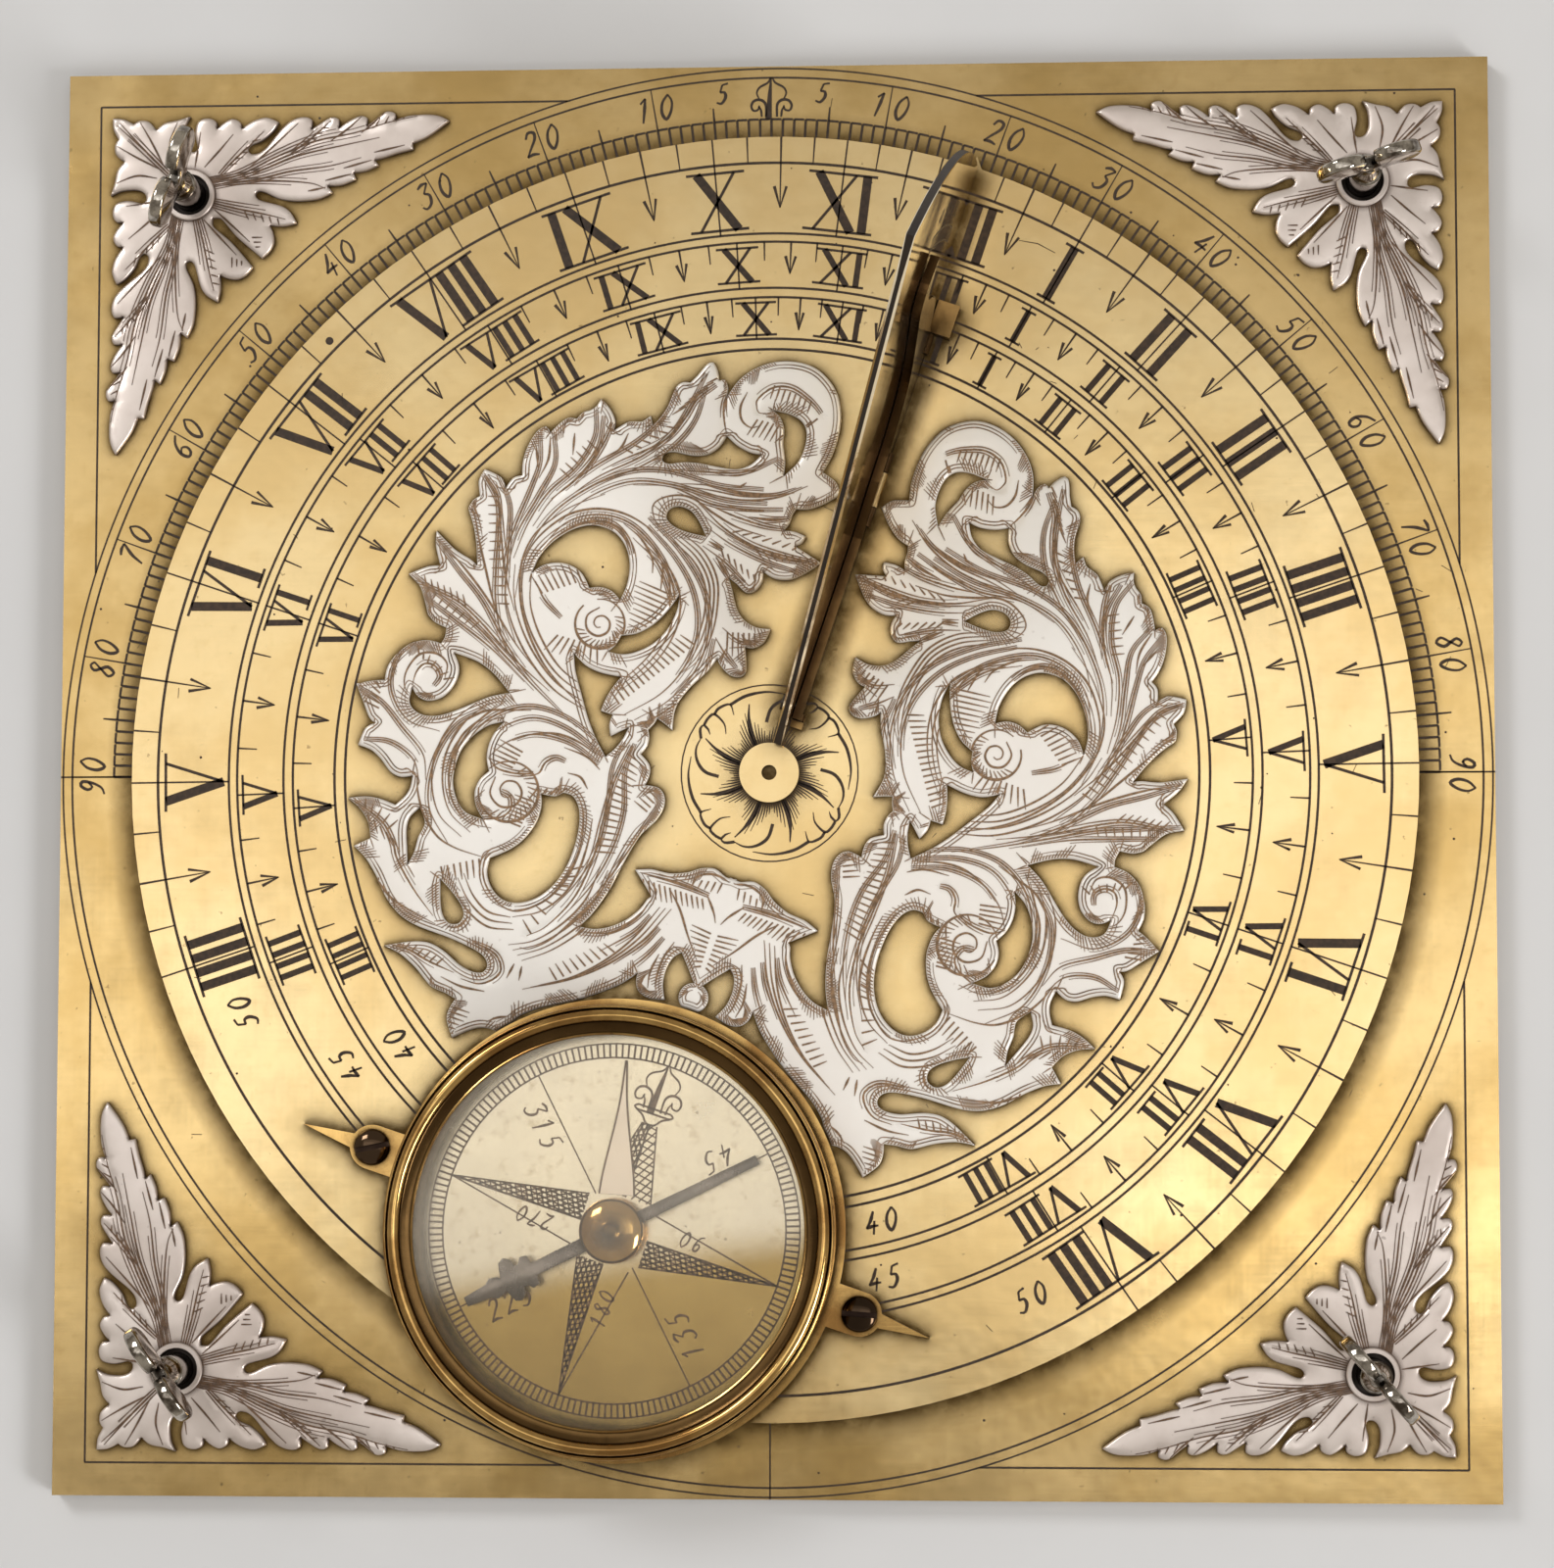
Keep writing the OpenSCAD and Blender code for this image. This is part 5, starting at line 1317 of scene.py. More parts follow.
FLOWS_SEEN = [
    [(1490, 275), (1478, 340), (1470, 420), (1492, 500), (1540, 590), (1568, 680)],
    [(1522, 335), (1508, 400), (1520, 480), (1560, 580), (1588, 680), (1588, 760)],
    [(1470, 300), (1448, 370), (1450, 440), (1480, 520), (1530, 600)],
    [(1640, 470), (1600, 525), (1590, 600), (1605, 680), (1600, 760), (1580, 840)],
    [(1610, 480), (1578, 540), (1575, 610), (1592, 690)],
    [(1700, 590), (1660, 640), (1640, 700), (1620, 780), (1590, 860), (1540, 930)],
    [(1672, 575), (1632, 625), (1618, 700), (1606, 790), (1574, 870)],
    [(1745, 735), (1680, 765), (1640, 815), (1600, 875), (1550, 940), (1480, 1000), (1380, 1032)],
    [(1725, 712), (1660, 750), (1620, 800), (1580, 862), (1530, 930), (1460, 985)],
    [(1745, 905), (1660, 930), (1580, 952), (1490, 990), (1400, 1020), (1290, 1040)],
    [(1735, 995), (1640, 1000), (1550, 1003), (1450, 1020), (1350, 1035), (1250, 1045)],
    [(1700, 1020), (1600, 1020), (1500, 1022), (1400, 1036)],
    [(1240, 400), (1320, 450), (1430, 492), (1500, 550), (1550, 640), (1572, 730), (1560, 830), (1525, 905)],
    [(1215, 420), (1290, 468), (1400, 508), (1480, 560), (1530, 640), (1548, 720)],
    [(1180, 410), (1240, 455), (1310, 492), (1400, 515), (1470, 560)],
    [(1255, 330), (1295, 395), (1370, 450), (1450, 500)],
    [(1065, 470), (1130, 502), (1230, 522), (1310, 522)],
    [(1075, 500), (1140, 520), (1220, 535), (1290, 538)],
    [(1150, 585), (1210, 575), (1270, 575)],
    [(1400, 595), (1300, 612), (1210, 650), (1150, 710), (1122, 790), (1128, 880), (1160, 960)],
    [(1390, 612), (1300, 630), (1225, 665), (1170, 725), (1145, 800), (1150, 880), (1185, 965)],
    [(1130, 720), (1102, 790), (1108, 870), (1140, 950), (1172, 990)],
    [(1050, 670), (1085, 690), (1130, 690)],
    [(1055, 740), (1095, 730), (1130, 715)],
    [(1250, 690), (1330, 645), (1420, 630), (1490, 655), (1535, 710), (1545, 790)],
    [(1235, 720), (1320, 665), (1400, 650)],
    [(1420, 880), (1470, 870), (1512, 850)],
    [(1130, 1000), (1110, 1060), (1060, 1130), (1030, 1210), (1020, 1300), (1030, 1400)],
    [(1150, 1010), (1135, 1070), (1095, 1140), (1060, 1220), (1048, 1310), (1060, 1400)],
    [(1010, 1070), (1005, 1150), (1000, 1250), (1005, 1350)],
    [(1180, 1045), (1270, 1040), (1350, 1065), (1400, 1120), (1420, 1190), (1410, 1270), (1370, 1340)],
    [(1170, 1060), (1260, 1060), (1335, 1085), (1378, 1140), (1392, 1200)],
    [(1165, 1080), (1240, 1080), (1310, 1110), (1350, 1160), (1362, 1210)],
    [(1430, 1130), (1460, 1200), (1450, 1290), (1400, 1370), (1320, 1410)],
    [(1640, 1100), (1650, 1160), (1620, 1220), (1550, 1250), (1480, 1230)],
    [(1690, 1260), (1620, 1255), (1550, 1270), (1480, 1290), (1440, 1330)],
    [(1600, 1340), (1550, 1310), (1490, 1310), (1450, 1340)],
    [(830, 1290), (835, 1340), (850, 1400)],
    [(850, 1280), (856, 1330), (880, 1400)],
    [(880, 1270), (888, 1320), (920, 1395)],
]
SCROLL_FLOWS = [[from_view(*p) for p in path] for path in FLOWS_SEEN]


# Rolls at the hearts of the scrolls: centre, radius, and where the rim starts, in degrees clockwise from noon
SCROLL_ROLLS = [((23.5, 9.9), 2.8, 60), ((27.2, -11.3), 3.4, 100)]


def mirrored(x, y):
    return (-x, y)


def as_drawn(x, y):
    return (x, y)


def roll(cut, centre, r, start):
    """A rolled leaf end: most of a circle, a spiral in it and short cuts across its shaded side"""
    def at(points):
        return [(centre[0] + x, centre[1] + y) for x, y in points]

    cut.cut(arc(r, start, start + 325, 0.8, centre), 0.3, 0.5, 0.3)
    cut.cut(at([polar(r * (0.66 - 0.052 * k), start - 40 + 55 * k) for k in range(11)]), 0.24, 0.4, 0.4)
    for k in range(15):
        angle = start + 60 + 13 * k
        cut.cut(at([polar(0.97 * r, angle), polar(0.66 * r, angle + 12)]), 0.13, 1.0, 0.4)


# Widths of the scroll's cuts
FOLD_PEN = 0.36
LINE_PEN = 0.24
FLOW_PEN = 0.2


def scroll_engraving(piece):
    cut = Chasing(on_dial, piece, (as_drawn, mirrored))
    cut.shade_edges(scroll_relief, 0.42, spacing=0.46, width=0.11)
    for path in SCROLL_FLOWS:
        cut.cut(path, FLOW_PEN, 0.2, 0.2)
        cut.spray(path, 0.12, 1, 0.4)
    for path in SCROLL_FOLDS:
        cut.cut(path, FOLD_PEN)
        cut.spray(path, 0.13, 1, 0.5)
    for path in SCROLL_LINES:
        cut.cut(path, LINE_PEN)
    for first, last, count in SCROLL_BUNDLES:
        cut.bundle(first, last, count, FLOW_PEN)
    for first, last, count in SCROLL_RAKES:
        cut.rake(first, last, count)
    for centre, r, start in SCROLL_ROLLS:
        roll(cut, centre, r, start)
    return cut


# One half of a corner ornament, north-west, about its screw; the other half is its mirror image
CORNER_FOLDS = [
    [(2.2, 1.5), (5.8, 2.3), (10.2, 4.4), (14.6, 6.1), (19.0, 7.0), (23.0, 8.2), (26.2, 8.9)],
    [(3.5, 2.3), (5.8, 4.7), (8.5, 7.3)],
    [(11.7, 4.7), (14.0, 6.4), (16.3, 8.5)],
    [(-2.0, 2.0), (-5.0, 5.0), (-8.5, 8.2)],
    [(2.6, -0.9), (5.8, -1.7), (8.7, -2.3), (11.1, -2.9)],
]
CORNER_LINES = [
    [(2.3, 1.7), (7.6, 2.6), (12.5, 4.4), (17.5, 5.5), (21.9, 6.4)],
    [(2.6, 1.2), (7.6, 1.7), (11.7, 2.6), (16.3, 3.2), (19.8, 4.1)],
    [(2.9, 0.9), (6.4, 1.5), (10.5, 1.5), (14.0, 1.2), (15.7, 0.6)],
    [(1.7, 3.2), (3.5, 5.2), (5.0, 7.0)],
    [(7.0, 3.2), (9.6, 5.5), (12.5, 8.2)],
    [(16.3, 6.1), (18.4, 7.6), (19.8, 8.9)],
    [(19.8, 7.0), (21.6, 8.5), (22.7, 9.6)],
    [(21.3, 4.7), (24.8, 5.5)],
    [(17.8, 2.9), (21.0, 3.8)],
    [(15.7, 1.5), (19.0, 2.3)],
    [(13.7, 0.3), (15.7, 0.7)],
    [(-2.9, 3.2), (-4.4, 6.1), (-5.8, 8.5)],
    [(-2.0, 3.8), (-2.3, 6.1), (-1.5, 8.5)],
    [(0.6, 3.2), (0.9, 5.2), (1.2, 7.3)],
    [(2.9, -1.7), (5.2, -3.8), (7.0, -5.5)],
]
CORNER_RAKES = [
    (((7.3, -5.0), (8.5, -5.0)), ((7.7, -6.1), (8.3, -6.1)), 3),
    (((4.4, 3.4), (5.6, 3.6)), ((7.2, 6.2), (8.2, 6.4)), 5),
    (((12.8, 5.7), (13.9, 5.7)), ((15.2, 7.6), (16.1, 7.6)), 4),
    (((6.4, -2.0), (6.9, -3.0)), ((10.2, -2.8), (10.4, -3.6)), 5),
    (((20.4, 7.5), (21.0, 8.6)), ((24.6, 8.6), (25.0, 9.2)), 5),
]


def corner_flips(sx, sy):
    """How a corner's drawing is laid: as it is, and mirrored about the corner's diagonal"""
    return (lambda x, y: (-sx * x, sy * y)), (lambda x, y: (sx * y, -sy * x))


def corner_engraving(name, piece, put, flips):
    cut = Chasing(put, piece, flips)
    for path in CORNER_FOLDS:
        cut.cut(path, 0.24, 0.5)
        cut.spray(path, 0.1, 1 if len(path) < 4 else 2, 0.55)
    for path in CORNER_LINES:
        cut.cut(path, 0.19)
        if len(path) > 3:
            cut.spray(path, 0.09, 1, 0.5)
    for first, last, count in CORNER_RAKES:
        cut.rake(first, last, count, 0.12)
    cut.piece(name, brown_wax, "base", "dark_steel")


# How far the silver's crown rises, and how far its rim stays below the node's top
SCROLL_CROWN = 0.14
CORNER_CROWN = 0.16
CROWN_ROOM = 0.12

SCROLL_VALLEYS = [path for path in SCROLL_FOLDS if len(path) > 3]
SCROLL_VALLEYS += [[mirrored(*p) for p in path] for path in SCROLL_VALLEYS]
scroll_thick = top_of("scroll_ornament") - dial_top - CROWN_ROOM
scroll_relief = Relief("scroll_ornament", noon_turn, (0.0, 0.0), scroll_thick, SCROLL_CROWN, SCROLL_VALLEYS)
scroll_piece = scroll_relief.piece("scroll_relief", on_dial, silver, "hour_dial", "silver", "scroll_ornament")
scroll_engraving(scroll_piece).piece("scroll_engraving", sepia_wax, "hour_dial", "dark_steel")

corner_thick = top_of("corner_ornament_nw") - plate_top - CROWN_ROOM
for corner, (sx, sy) in CORNERS.items():
    node_name, screw = "corner_ornament_" + corner, (sx * screw_at, sy * screw_at)
    on_corner = place(plate_top, 0.0, screw)
    flips = corner_flips(sx, sy)
    corner_valleys = [[flip(*p) for p in path] for flip in flips for path in CORNER_FOLDS]
    corner_relief = Relief(node_name, 0.0, screw, corner_thick, CORNER_CROWN, corner_valleys)
    corner_piece = corner_relief.piece("corner_relief_" + corner, on_corner, corner_silver, "base", "silver",
                                       node_name)
    corner_engraving("corner_engraving_" + corner, corner_piece, on_corner, flips)


# Turned pieces, and flat pieces with rounded edges
def finish_mesh(piece, angle=40):
    """Joins doubled points, turns all faces outward and keeps only the sharp edges sharp"""
    mesh = bmesh.new()
    mesh.from_mesh(piece.data)
    bmesh.ops.remove_doubles(mesh, verts=mesh.verts, dist=0.0005 * MM)
    bmesh.ops.recalc_face_normals(mesh, faces=mesh.faces)
    mesh.to_mesh(piece.data)
    mesh.free()
    piece.data.shade_smooth()
    piece.data.set_sharp_from_angle(angle=math.radians(angle))


def bands(rings, count, closed=False):
    """Faces between rings of count points each, from each ring to the next"""
    spans = rings if closed else rings - 1
    for k in range(spans):
        here, there = k * count, (k + 1) % rings * count
        for i in range(count):
            n = (i + 1) % count
            yield (here + i, here + n, there + n, there + i)


def lathe(name, put, profile, material, body, segments=128):
    """Turns a closed outline of (radius, height) about the centre"""
    verts = [put(*polar(r, 360 * k / segments), z) for k in range(segments) for r, z in profile]
    faces = list(bands(segments, len(profile), True))
    piece = mesh_piece(name, verts, faces, material, body)
    finish_mesh(piece)
    return piece


def inward_at(outline, i):
    """The sum of the directions to the left of the two sides that meet at a point of a closed outline"""
    (ax, ay), (bx, by), (cx, cy) = outline[i - 1], outline[i], outline[(i + 1) % len(outline)]
    first, second = Vector((bx - ax, by - ay)).normalized(), Vector((cx - bx, cy - by)).normalized()
    return Vector((-first.y - second.y, first.x + second.x))


def stacked(name, rings, material, body, angle=40):
    """A closed piece over rings of points, filled at its first and last ring"""
    count, last = len(rings[0]), len(rings) - 1
    verts = [spot for ring in rings for spot in ring]
    faces = [tuple(range(count)), tuple(last * count + i for i in range(count)), *bands(len(rings), count)]
    piece = mesh_piece(name, verts, faces, material, body)
    finish_mesh(piece, angle)
    return piece


def slab(name, put, outline, low, high, bevel, material, body, steps=3):
    """A flat plate with rounded edges, its outline of (a, b) between two levels of c"""
    inward = []
    for i in range(len(outline)):
        normal = inward_at(outline, i)
        inward.append(normal / max(0.6, normal.length_squared / 2))
    turns = [math.pi / 2 * k / steps for k in range(steps + 1)]
    edge = [(bevel * (1 - math.sin(a)), bevel * (1 - math.cos(a))) for a in turns]
    levels = [(low + rise, inset) for rise, inset in reversed(edge)]
    levels += [(high - rise, inset) for rise, inset in edge]
    rings = []
    for c, inset in levels:
        rings.append([put(x + n.x * inset, y + n.y * inset, c) for (x, y), n in zip(outline, inward)])
    return stacked(name, rings, material, body)


def recolour(piece, material, test):
    """Gives a second material to the faces that pass the test"""
    piece.data.materials.append(material)
    for face in piece.data.polygons:
        if test(face):
            face.material_index = 1


def off_axis(face, centre):
    """A face's distance from an upright axis"""
    return math.hypot(face.center.x / MM - centre[0], face.center.y / MM - centre[1])


# Compass, in heights above the hour plate
on_compass = place(dial_top, noon_turn, compass_at)
BEZEL_LOW = low_of("compass_bezel") - dial_top
BEZEL_TOP = top_of("compass_bezel") - dial_top
BEZEL_R = half_width("compass_bezel")
BEZEL_IN = 21.6
WALL_OUT = half_width("compass_wall") + 0.05
GLASS_TOP = top_of("compass_glass") - dial_top


def bezel():
    """A fine bead outside, a round golden ring, and a cove down to the glass; cove and groove are painted
    dark as shade
    """
    bead, ring, lip = 0.2, 0.72, 0.16
    ring_r = BEZEL_R - 1.15
    rise = BEZEL_TOP - ring
    groove = BEZEL_R - 2 * bead - 0.03
    cove = ring_r - ring
    profile = [(WALL_OUT, BEZEL_LOW), (BEZEL_R, BEZEL_LOW), (BEZEL_R, rise - 0.1)]
    profile += swing((BEZEL_R - bead, rise), bead, range(30, 180, 30))
    profile.append((groove, rise - 0.15))
    profile += swing((ring_r, rise), ring, range(0, 195, 15))
    profile += [(cove - 0.1, GLASS_TOP + 0.1), (BEZEL_IN + 0.34, GLASS_TOP + 0.03)]
    profile += swing((BEZEL_IN + lip, GLASS_TOP + 0.05), lip, range(45, 225, 45))
    profile += [(BEZEL_IN, GLASS_TOP), (WALL_OUT, GLASS_TOP)]
    piece = lathe("bezel_ring", on_compass, profile, compass_brass, "hour_dial")

    # Painted shade: the cove down to the glass and the groove by the bead take the darker brass
    def dark(face):
        r = off_axis(face, compass_at)
        return BEZEL_IN + 0.3 < r < cove + 0.12 or groove - 0.12 < r < groove + 0.06

    recolour(piece, cove_shade_brass, dark)
    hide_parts("compass_bezel")


NEEDLE_TURN = 45.4
NEEDLE_LOW = low_of("compass_needle") - dial_top
NEEDLE_HIGH = top_of("compass_needle") - dial_top
NEEDLE_HALF = 18.0
# One side of the needle, as (half width, distance north of the point)
NEEDLE_SIDE = [
    (0.55, -NEEDLE_HALF), (0.8, -15.2), (1.25, -14.6), (1.0, -13.7), (0.7, -13.4), (1.5, -13.2), (2.3, -12.9),
    (2.6, -12.2), (2.1, -11.6), (1.3, -11.4), (1.3, -10.9), (1.9, -10.5), (1.7, -9.7), (0.75, -9.6),
    (0.8, -2.0), (0.72, 2.0), (0.55, NEEDLE_HALF),
]


def compass_needle():
    """The needle is drawn along its own length and turned to where it points"""
    on_needle = place(dial_top, noon_turn + math.radians(NEEDLE_TURN), compass_at)
    outline = NEEDLE_SIDE + [(-x, y) for x, y in reversed(NEEDLE_SIDE)]
    piece = slab("needle_bar", on_needle, outline, NEEDLE_LOW, NEEDLE_HIGH, 0.1, blued_steel, "needle",
                 steps=2)
    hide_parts("compass_needle")


def needle_cap():
    """A domed cap with a small button"""
    low, high = low_of("needle_cap") - dial_top, top_of("needle_cap") - dial_top
    reach = half_width("needle_cap")
    shoulder = NEEDLE_HIGH + 0.3
    dome = high - NEEDLE_HIGH - 0.55
    profile = [(0.0, low), (0.7, low), (0.9, NEEDLE_HIGH), (reach - 0.15, NEEDLE_HIGH),
               (reach, NEEDLE_HIGH + 0.1), (reach, shoulder)]
    profile += swing((0.0, shoulder), reach, range(10, 80, 10), dome)
    profile += [(0.85, high - 0.2), (0.75, high - 0.06), (0.55, high), (0.0, high)]
    piece = lathe("cap_dome", on_compass, profile, compass_brass, "needle")
    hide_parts("needle_cap")


def block(verts, faces, put, rows, top, low):
    """A closed block over rows of (x, y) points, from a level to the height that top gives"""
    first, wide = len(verts), len(rows[0])
    for level in (top, lambda x, y: low):
        verts += [put(x, y, level(x, y)) for row in rows for x, y in row]
    under = len(rows) * wide

    def wall(a, b):
        faces.append((a, b, under + b, under + a))

    for i in range(len(rows) - 1):
        start = first + i * wide
        for a in range(start, start + wide - 1):
            over = (a, a + 1, a + wide + 1, a + wide)
            faces.append(over)
            faces.append(tuple(under + corner for corner in reversed(over)))
        wall(start, start + wide)
        wall(start + wide - 1, start + 2 * wide - 1)
    for start in (first, first + under - wide):
        for a in range(start, start + wide - 1):
            wall(a, a + 1)


def ear_screw(name, centre, reach, slot_turn):
    """A domed screw head with its slot, as two halves and the slot's floor"""
    put = place(0.0, noon_turn + math.radians(slot_turn), centre)
    low, high = top_of("compass_foot"), top_of("compass_screws")
    slot = 0.15 * reach
    rim, floor = 0.15, 0.12
    far = 0.99 * math.sqrt(reach * reach - slot * slot)
    columns = 8

    def dome(x, y):
        return low + rim + (high - low - rim) * math.sqrt(max(0.0, 1 - (x * x + y * y) / (reach * reach)))

    verts, faces = [], []
    levels = [far * math.sin(math.radians(a)) for a in range(-90, 100, 10)]
    for side in (-1, 1):
        rows = []
        for y in levels:
            wide = math.sqrt(reach * reach - y * y) - slot
            rows.append([(side * (slot + wide * k / columns), y) for k in range(columns + 1)])
        block(verts, faces, put, rows, dome, low)
    block(verts, faces, put, [[(-slot, y), (slot, y)] for y in levels], lambda x, y: low + floor, low)
    piece = mesh_piece(name, verts, faces, dark_steel, "hour_dial")
    finish_mesh(piece)
    return piece


def ear_screws():
    corners = [(v.co.x / MM, v.co.y / MM) for v in frame["nodes"]["compass_screws"].data.vertices]
    for name, side, slot_turn in (("ear_screw_west", -1, 60), ("ear_screw_east", 1, 76)):
        mine = [p for p in corners if (p[0] - compass_at.x) * side > 0]
        low, high = [min(p[k] for p in mine) for k in (0, 1)], [max(p[k] for p in mine) for k in (0, 1)]
        centre = ((low[0] + high[0]) / 2, (low[1] + high[1]) / 2)
        piece = ear_screw(name, centre, (high[0] - low[0]) / 2, slot_turn)
        if name == "ear_screw_east":
            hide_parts("compass_screws")


bezel()
compass_needle()
needle_cap()
ear_screws()

# Gnomon: the sector-shaped plate, drawn north and up, with painted-shade edges and a latitude scale on its
# east side.
# STYLE_THIN is the style edge's half thickness and how far back from it the plate is whole.
pivot = Vector(JOINTS["latitude_set"]["pos_m"]) / MM
pivot_n = math.hypot(pivot.x, pivot.y)
pivot_h = pivot.z - dial_top
LEAST_LATITUDE = 40
STYLE_LAT = math.radians(LEAST_LATITUDE)
EYE_R = 1.3
GNOMON_HALF = 0.5
CHAMFER = 0.07
STYLE_THIN = (0.24, 0.26)
gnomon_low = low_of("gnomon") - dial_top
style_top = top_of("gnomon") - dial_top
style_far = style_top / math.tan(STYLE_LAT)
arc_r = math.hypot(style_far - pivot_n, style_top - pivot_h)


def on_side(n, h, e):
    """A point east of the noon plane, from its distance north and its height above the hour plate"""
    return on_dial(e, n, h)


def gnomon_plate():
    """The plate: its style edge is filed thin, the other edges are square with a small chamfer"""
    tip = math.atan2(style_top - pivot_h, style_far - pivot_n)
    toe = math.asin((gnomon_low - pivot_h) / arc_r)
    arc_steps, style_steps = 40, 12
    turns = [toe + (tip - toe) * i / arc_steps for i in range(arc_steps + 1)]
    outline = [(pivot_n, gnomon_low)]
    outline += [(pivot_n + arc_r * math.cos(a), pivot_h + arc_r * math.sin(a)) for a in turns]
    far = math.hypot(style_far, style_top)
    near = (pivot_h + EYE_R * 0.9) / math.sin(STYLE_LAT)
    reaches = [far + (near - far) * k / style_steps for k in range(1, style_steps + 1)]
    outline += [(math.cos(STYLE_LAT) * r, math.sin(STYLE_LAT) * r) for r in reaches]
    thinned = range(arc_steps + 2, arc_steps + 1 + style_steps)
    outline += swing((pivot_n, pivot_h), EYE_R, range(150, 290, 20))
    rings = [[], [], [], []]
    for i, (x, y) in enumerate(outline):
        normal = inward_at(outline, i).normalized()
        half, inset = STYLE_THIN if i in thinned else (GNOMON_HALF - CHAMFER, CHAMFER)
        inner = (x + normal.x * inset, y + normal.y * inset)
        spots = (inner, -GNOMON_HALF), ((x, y), -half), ((x, y), half), (inner, GNOMON_HALF)
        for ring, (spot, out) in zip(rings, spots):
            ring.append(on_side(*spot, out))
    piece = stacked("gnomon_plate", rings, gnomon_brass, "gnomon", 12)
    east = Vector((math.cos(noon_turn), -math.sin(noon_turn), 0))
    # Faces that look neither east nor west, the edges, are painted near black: painted shade
    recolour(piece, painted_shade_black, lambda face: abs(face.normal.dot(east)) < 0.3)
    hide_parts("gnomon")


# Where the bird's beak touches the gnomon at rest
BEAK_N = 57.6
BEAK_H = 22.9


def gnomon_scale():
    """Degrees of latitude on the gnomon's east side, read against the bird's beak"""
    r = math.hypot(BEAK_N - pivot_n, BEAK_H - pivot_h)
    at_rest = math.degrees(math.atan2(BEAK_H - pivot_h, BEAK_N - pivot_n))
    degrees = range(38, 58)

    def on_face(n, h, out=0.0):
        return on_side(n, h, GNOMON_HALF + out)

    def spot(radius, latitude):
        a = math.radians(at_rest - (latitude - LEAST_LATITUDE))
        return (pivot_n + radius * math.cos(a), pivot_h + radius * math.sin(a))

    cut = Engraving(on_face)
    cut.sunk = 0.03
    for radius in (r + 0.3, r + 2.0):
        cut.line([spot(radius, latitude) for latitude in degrees], 0.16)
    for latitude in degrees:
        long = r + 2.6 if latitude % 5 == 0 else r + 2.0
        cut.line([spot(r + 0.3, latitude), spot(long, latitude)], 0.16)
    for latitude in (40, 45, 50, 55):
        turn = 90 - (at_rest - (latitude - LEAST_LATITUDE))
        number(cut, str(latitude), spot(r + 4.0, latitude), turn, 1.7, pen=0.22, gap=0.25)
    cut.piece("gnomon_scale", dark_wax, "gnomon", "dark_steel")


gnomon_plate()
gnomon_scale()


# Levelling screws: a stem and butterfly wings with rounded, polished edges, and a bush. The wings' turn is in
# degrees anticlockwise from +X.
WING_TURN = {"nw": 72, "ne": 16, "se": -49, "sw": -56}
WING_HALF_T = 0.75
WING_LOBE_R = 3.0
WING_LOBE_X = 2.95
STEM_R = 1.8
BUSH_MOUTH_R = 2.29


def wing_outline(low, high):
    """Butterfly wings seen from the side, as (distance from the screw's axis, height)"""
    right = [(1.1, low), (1.25, low + 1.3), (2.4, low + 2.3)]
    right += swing((WING_LOBE_X, high - WING_LOBE_R), WING_LOBE_R, range(-50, 160, 15))
    right += [(0.9, high - 3.4), (0.35, high - 3.9)]
    return right + [(-x, z) for x, z in reversed(right)]


def wing_screw(corner, centre):
    node_name, body = "wing_" + corner, "wings_" + corner
    low, high = low_of(node_name), top_of(node_name)
    turn = math.radians(WING_TURN[corner])
    c, s = math.cos(turn), math.sin(turn)

    def on_wing(a, height, across):
        return ((centre[0] + a * c - across * s) * MM, (centre[1] + a * s + across * c) * MM, height * MM)

    wings = slab("wing_plate_" + corner, on_wing, wing_outline(low + 0.2, high), -WING_HALF_T, WING_HALF_T,
                 0.4, steel, body, steps=4)
    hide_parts(node_name)
    profile = [(0.0, 0.0), (STEM_R - 0.1, 0.0), (STEM_R, 0.1), (STEM_R, 0.5), (STEM_R - 0.25, 0.7),
               (1.3, 1.4), (1.15, 2.2), (0.9, 3.0), (0.5, 3.3), (0.0, 3.4)]
    lathe("wing_stem_" + corner, place(low, 0.0, centre), profile, steel, body, segments=48)


def bush(corner, centre):
    """A flanged bush, its mouth painted near black as the shade of its hole"""
    low, high = low_of("screw_bushes"), top_of("screw_bushes")
    rim = top_of("screw_bushes", 0) - screw_at
    profile = [(1.84, low), (1.84, high - 0.8), (2.22, high - 0.75), (2.32, high - 0.08), (2.4, high),
               (rim - 0.12, high), (rim, high - 0.12), (rim, high - 0.35), (2.4, high - 0.35), (2.4, low)]
    piece = lathe("bush_" + corner, place(0.0, 0.0, centre), profile, corner_silver, "base", 64)
    # Painted shade: the faces inside the mouth are near black
    recolour(piece, painted_shade_black, lambda face: off_axis(face, centre) < BUSH_MOUTH_R)
    if corner == "nw":
        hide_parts("screw_bushes")


for corner, (sx, sy) in CORNERS.items():
    wing_screw(corner, (sx * screw_at, sy * screw_at))
    bush(corner, (sx * screw_at, sy * screw_at))


# Floor, world and lamps
FLOOR_SIZE = 4.0


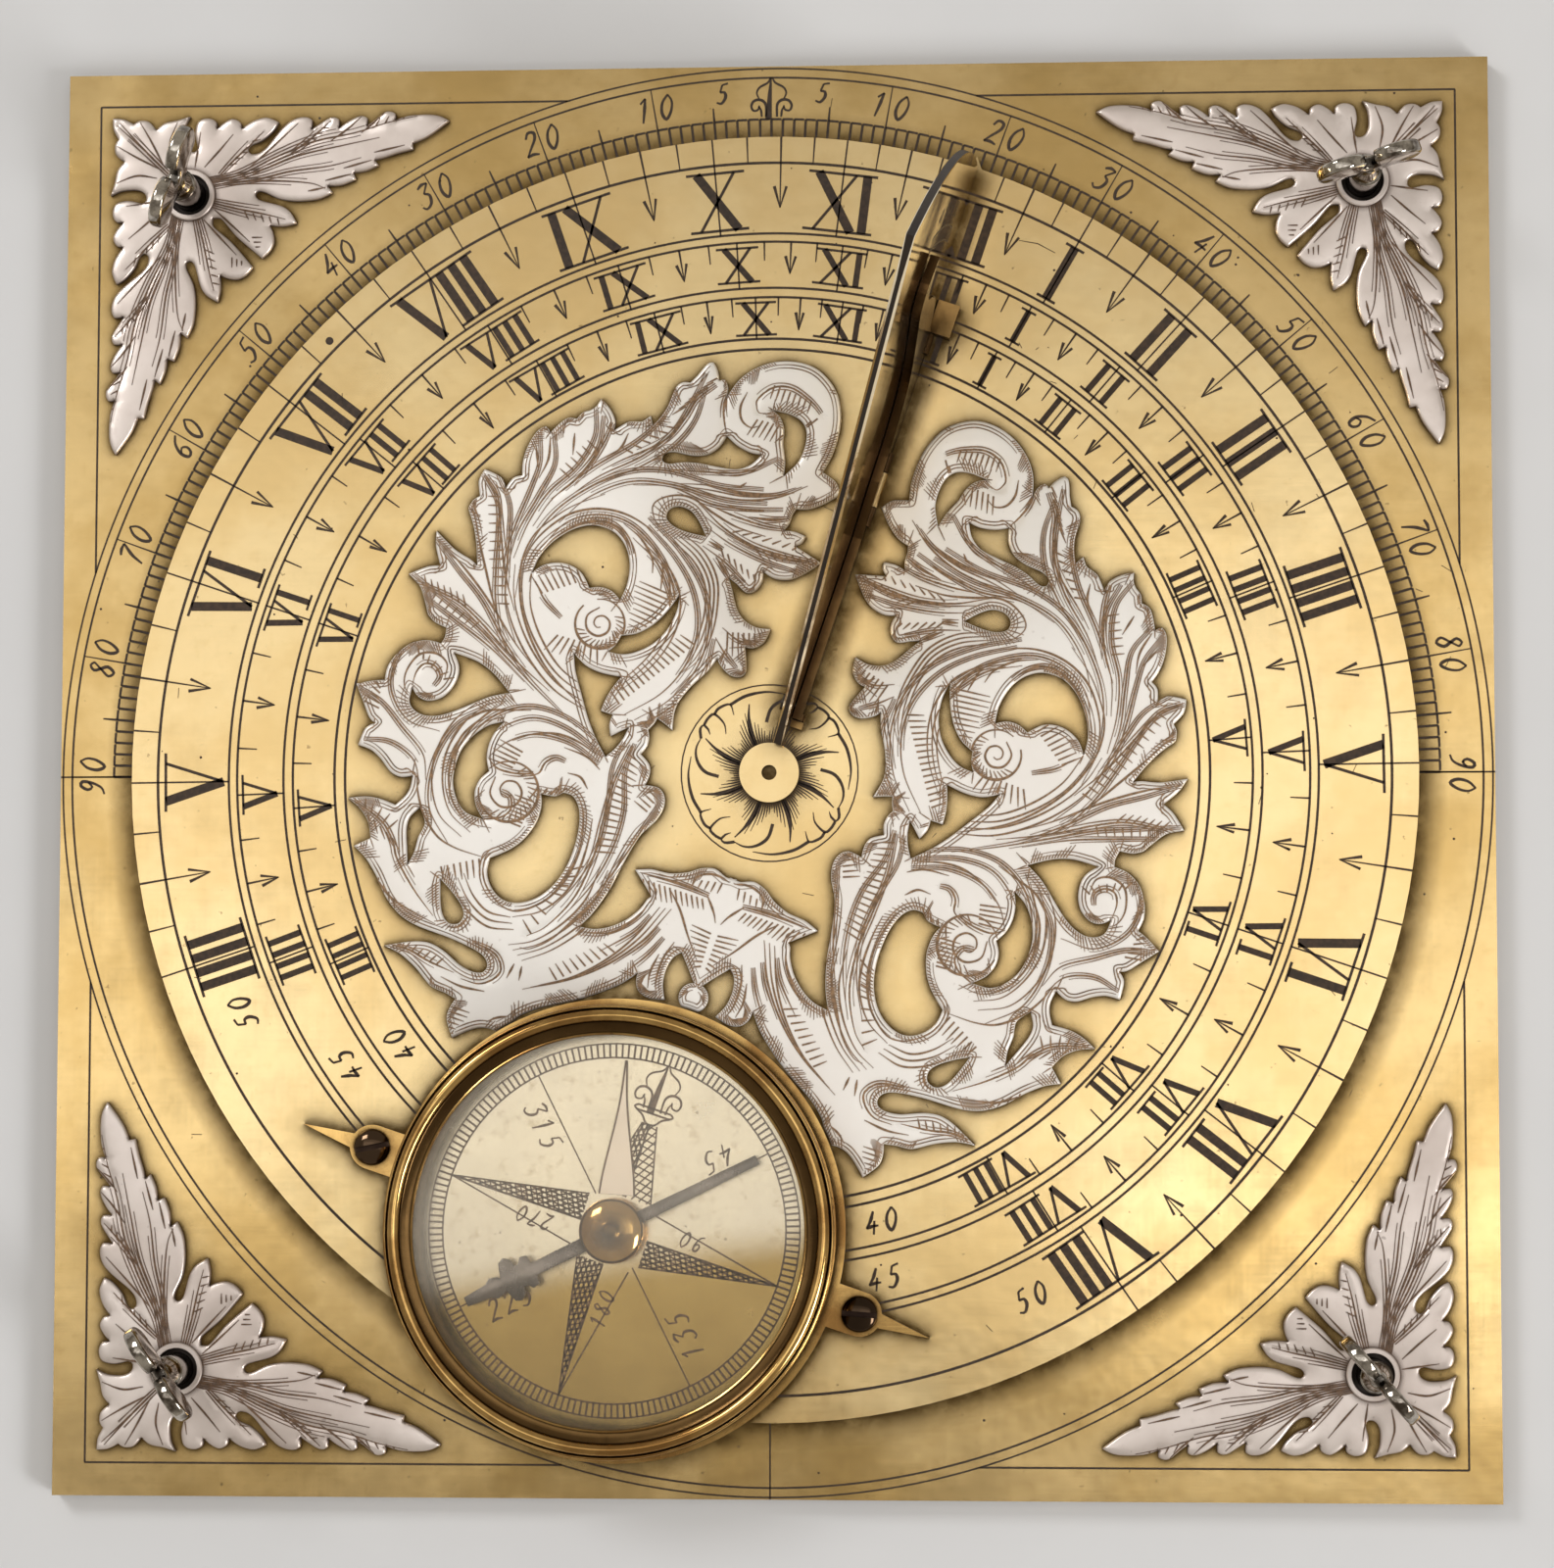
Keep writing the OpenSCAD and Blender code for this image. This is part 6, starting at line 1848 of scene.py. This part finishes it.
def make_floor():
    bpy.ops.mesh.primitive_plane_add(size=FLOOR_SIZE, location=(0, 0, 0))
    floor = bpy.context.object
    floor.name = "floor"
    material, tree, shader = new_material("floor")
    grain = ramp(tree, noise(tree, 30.0), 0.3, 0.7)
    join(tree, blend(tree, grain, (0.725, 0.73, 0.745), (0.745, 0.75, 0.765)), shader.inputs["Base Color"])
    shader.inputs["Roughness"].default_value = 0.8
    floor.data.materials.append(material)


# Lamps: name, place in metres, sizes, power in watts, and the long side's turn in degrees from +X. Boxes hang
# over the plate, where its brass mirrors them.
LAMPS = [
    ("overhead_box", (0.0, 0.054, 1.3), (1.6, 0.342), 1.42, -4),
    ("north_box", (0.0, 0.31, 1.28), (1.6, 0.17), 0.32, -4),
    ("right_box", (0.35, 0.03, 1.32), (0.7, 0.33), 0.22, -4),
    ("low_right_box", (0.21, -0.12, 1.31), (0.3, 0.1), 0.14, -4),
    ("low_left_box", (-0.38, -0.03, 1.31), (0.24, 0.22), 0.085, -4),
    ("key_lamp", (-0.55, 0.50, 0.75), (0.3, 0.3), 3.0, 0),
    ("side_lamp", (0.75, -0.45, 0.6), (0.25, 0.5), 5.0, 0),
]


def make_lamp(name, at, size, power, turn):
    """A soft box that faces the object's middle"""
    data = bpy.data.lights.new(name, "AREA")
    data.shape = "RECTANGLE"
    data.size, data.size_y = size
    data.energy = power
    back = Vector(at).normalized()
    side = Vector((math.cos(math.radians(turn)), math.sin(math.radians(turn)), 0))
    up = back.cross(side).normalized()
    lamp = bpy.data.objects.new(name, data)
    lamp.matrix_world = Matrix.Translation(at) @ Matrix((up.cross(back), up, back)).transposed().to_4x4()
    scene.collection.objects.link(lamp)


def make_world():
    """A plain warm room"""
    world = bpy.data.worlds.new("world")
    world.use_nodes = True
    tree = world.node_tree
    coords = node(tree, "ShaderNodeTexCoord")
    split = node(tree, "ShaderNodeSeparateXYZ")
    join(tree, coords.outputs["Generated"], split.inputs[0])
    background = tree.nodes["Background"]
    background.inputs["Color"].default_value = (1, 0.92, 0.80, 1)
    join(tree, ramp(tree, split.outputs["Z"], 0.0, 0.9, 0.37, 0.34), background.inputs["Strength"])
    scene.world = world


make_floor()
make_world()
for lamp in LAMPS:
    make_lamp(*lamp)
